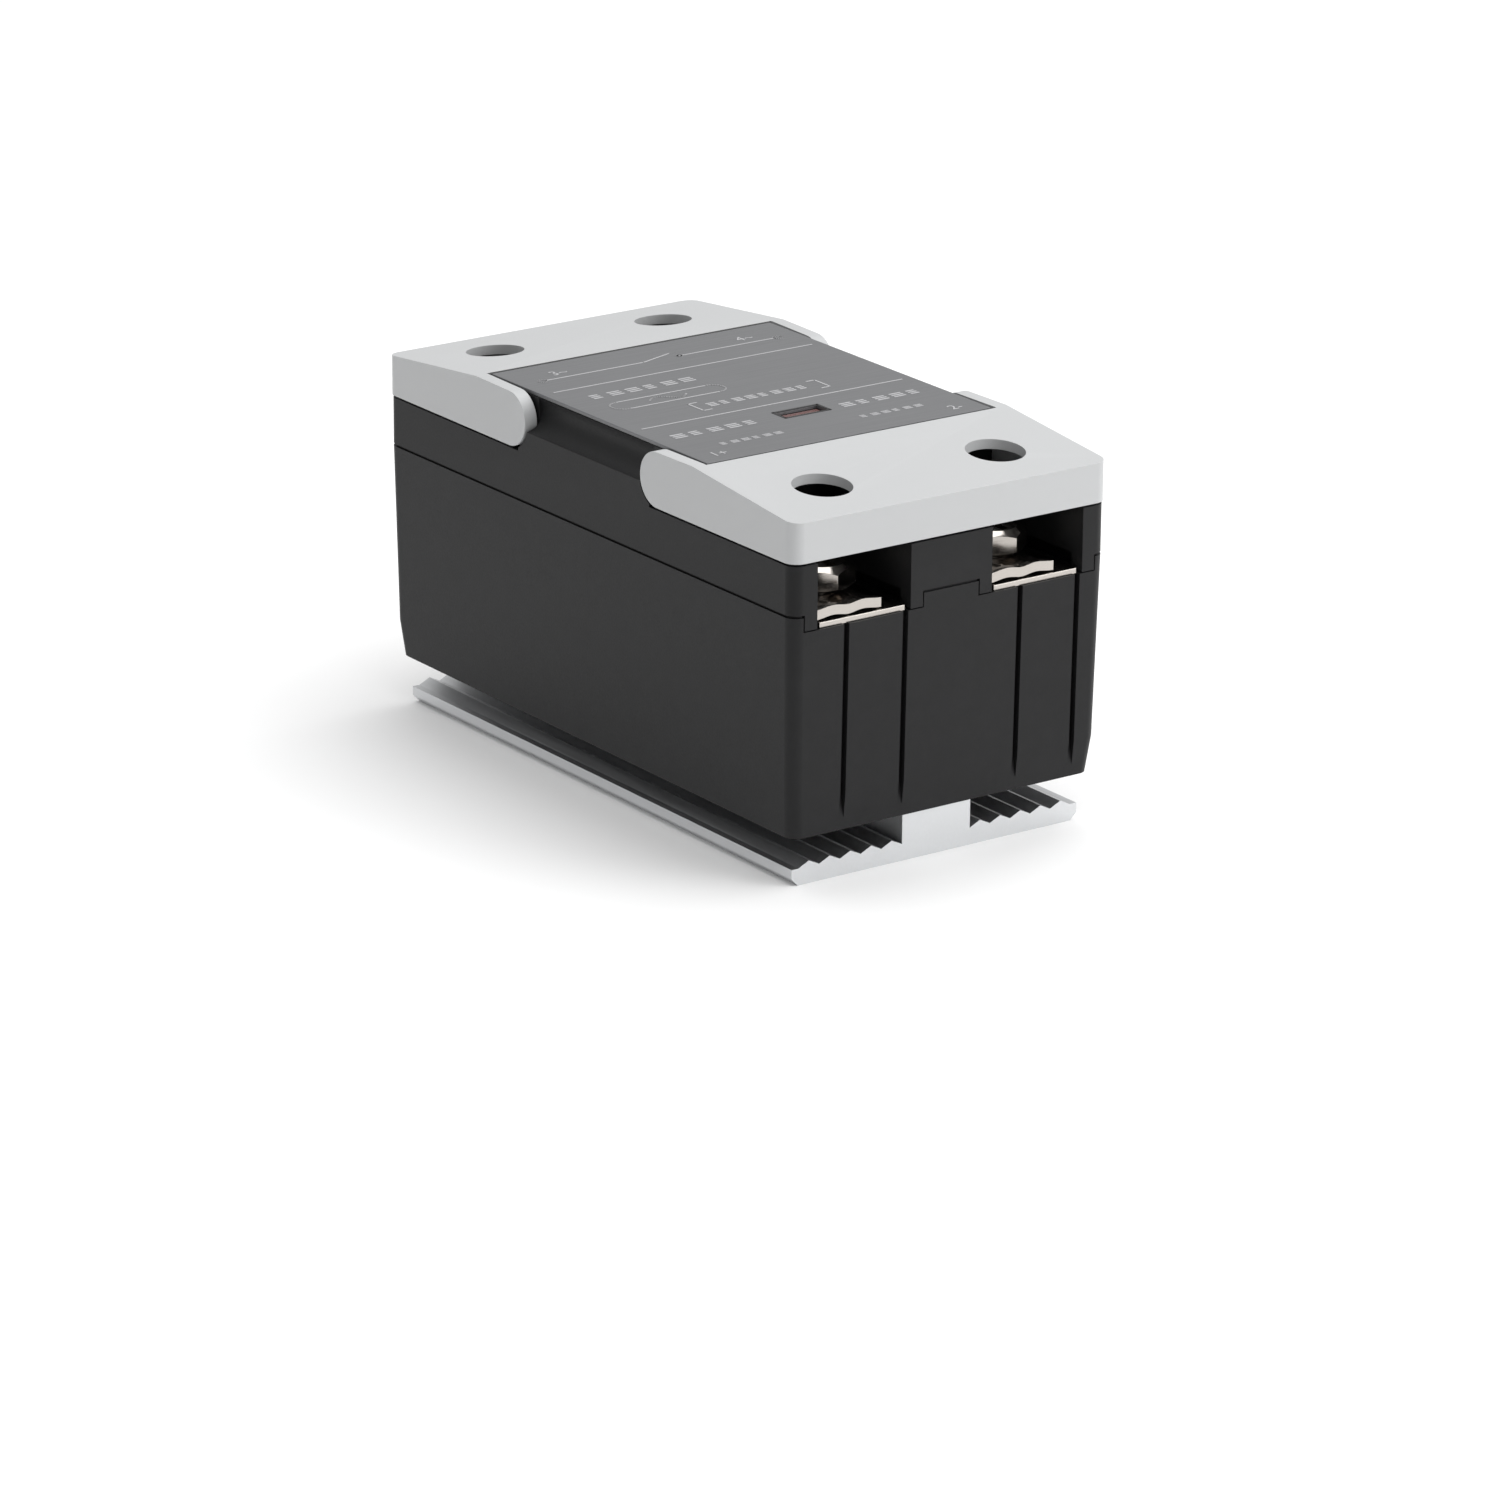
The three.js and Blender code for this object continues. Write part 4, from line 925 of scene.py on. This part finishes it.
class RELAY_OT_stage(RelayOperator, bpy.types.Operator):
    """Set the floor, the lights and the camera"""

    bl_idname = "relay.stage"
    bl_label = "Stage"

    aim = (0, 0, 0.03)
    key_place, key_size = (0.12, -0.05, 0.75), (0.9, 0.9)
    fill_place, fill_size = (0.50, -0.62, 0.28), (0.5, 0.4)
    dark_direction = (-0.86, -0.5, 0)

    def build(self, context):
        stage = context.scene.relay_stage
        self.lay_floor()
        self.light_up(stage)
        self.place_camera(stage)
        context.scene.view_settings.view_transform = "Standard"

    def lay_floor(self):
        pale = Finish("pale floor", Roughness=0.7)
        texture = pale.group(moulded_grain(), Grain=300.0, Depth=0.02)
        tone = pale.blend(texture.outputs["Mottle"], (0.95, 0.95, 0.95), (0.97, 0.97, 0.97))
        pale.link(tone, "Base Color")
        bm = bmesh.new()
        bmesh.ops.create_grid(bm, x_segments=4, y_segments=4, size=4.0)
        mesh = bpy.data.meshes.new("floor")
        bm.to_mesh(mesh)
        bm.free()
        mesh.materials.append(pale.material)
        floor = bpy.data.objects.new("floor", mesh)
        bpy.context.scene.collection.objects.link(floor)

    def light_up(self, stage):
        world = bpy.data.worlds.new("studio")
        bpy.context.scene.world = world
        world.use_nodes = True
        background = world.node_tree.nodes["Background"]
        background.inputs["Color"].default_value = (1.0, 1.0, 1.0, 1)
        place = world.node_tree.nodes.new("ShaderNodeTexCoord").outputs["Generated"]
        leftness = node(world.node_tree, "ShaderNodeVectorMath", operation="DOT_PRODUCT")
        world.node_tree.links.new(place, leftness.inputs[0])
        leftness.inputs[1].default_value = self.dark_direction
        strength = node(world.node_tree, "ShaderNodeMapRange")
        strength.inputs["From Min"].default_value = -0.1
        strength.inputs["From Max"].default_value = 0.8
        strength.inputs["To Min"].default_value = stage.sky
        strength.inputs["To Max"].default_value = stage.sky * stage.dark_sky
        world.node_tree.links.new(leftness.outputs["Value"], strength.inputs["Value"])
        world.node_tree.links.new(strength.outputs["Result"], background.inputs["Strength"])
        self.softbox("key", self.key_place, self.key_size, stage.key_power)
        self.softbox("fill", self.fill_place, self.fill_size, stage.fill_power)

    def softbox(self, name, place, size, power):
        data = bpy.data.lights.new(name, "AREA")
        data.shape = "RECTANGLE"
        data.size, data.size_y = size
        data.energy = power
        lamp = bpy.data.objects.new(name, data)
        lamp.location = place
        beam = Vector(self.aim) - Vector(place)
        lamp.rotation_euler = beam.to_track_quat("-Z", "Y").to_euler()
        lamp.visible_camera = False
        bpy.context.scene.collection.objects.link(lamp)

    def place_camera(self, stage):
        data = bpy.data.cameras.new("camera")
        data.lens = stage.lens
        data.sensor_width = 36
        camera = bpy.data.objects.new("camera", data)
        level = math.cos(stage.elevation)
        back = Vector((
            math.sin(stage.azimuth) * level,
            -math.cos(stage.azimuth) * level,
            math.sin(stage.elevation),
        ))
        camera.location = Vector(stage.target) + back * stage.distance
        aimed = (-back).to_track_quat("-Z", "Y")
        camera.rotation_euler = (aimed.to_matrix() @ Matrix.Rotation(stage.roll, 3, "Z")).to_euler()
        data.clip_start, data.clip_end = 0.05, 20
        bpy.context.scene.collection.objects.link(camera)
        bpy.context.scene.camera = camera


# ------------------------------------------------------------------ panel


BUILDERS = (
    RELAY_OT_stage,
    RELAY_OT_housings,
    RELAY_OT_covers,
    RELAY_OT_base,
    RELAY_OT_terminals,
    RELAY_OT_screws,
    RELAY_OT_label,
    RELAY_OT_lamp,
    RELAY_OT_fasteners,
    RELAY_OT_electronics,
)
SETTINGS = {
    "relay_shape": RELAY_PG_shape,
    "relay_finish": RELAY_PG_finish,
    "relay_stage": RELAY_PG_stage,
}


class RELAY_PT_panel(bpy.types.Panel):
    """Lists the relay's builders and settings"""

    bl_label = "Solid State Relay"
    bl_idname = "RELAY_PT_panel"
    bl_space_type = "VIEW_3D"
    bl_region_type = "UI"
    bl_category = "Relay"

    def draw(self, context):
        for builder in BUILDERS:
            self.layout.operator(builder.bl_idname)
        for name, group in SETTINGS.items():
            box = self.layout.box()
            for key in group.__annotations__:
                box.prop(getattr(context.scene, name), key)


def register():
    for group in SETTINGS.values():
        bpy.utils.register_class(group)
    for name, group in SETTINGS.items():
        setattr(bpy.types.Scene, name, bpy.props.PointerProperty(type=group))
    for cls in (*BUILDERS, RELAY_PT_panel):
        bpy.utils.register_class(cls)


def unregister():
    for cls in reversed((*BUILDERS, RELAY_PT_panel)):
        bpy.utils.unregister_class(cls)
    for name, group in SETTINGS.items():
        delattr(bpy.types.Scene, name)
        bpy.utils.unregister_class(group)


def main():
    register()
    for builder in BUILDERS:
        area, name = builder.bl_idname.split(".")
        getattr(getattr(bpy.ops, area), name)()


if __name__ == "__main__":
    main()
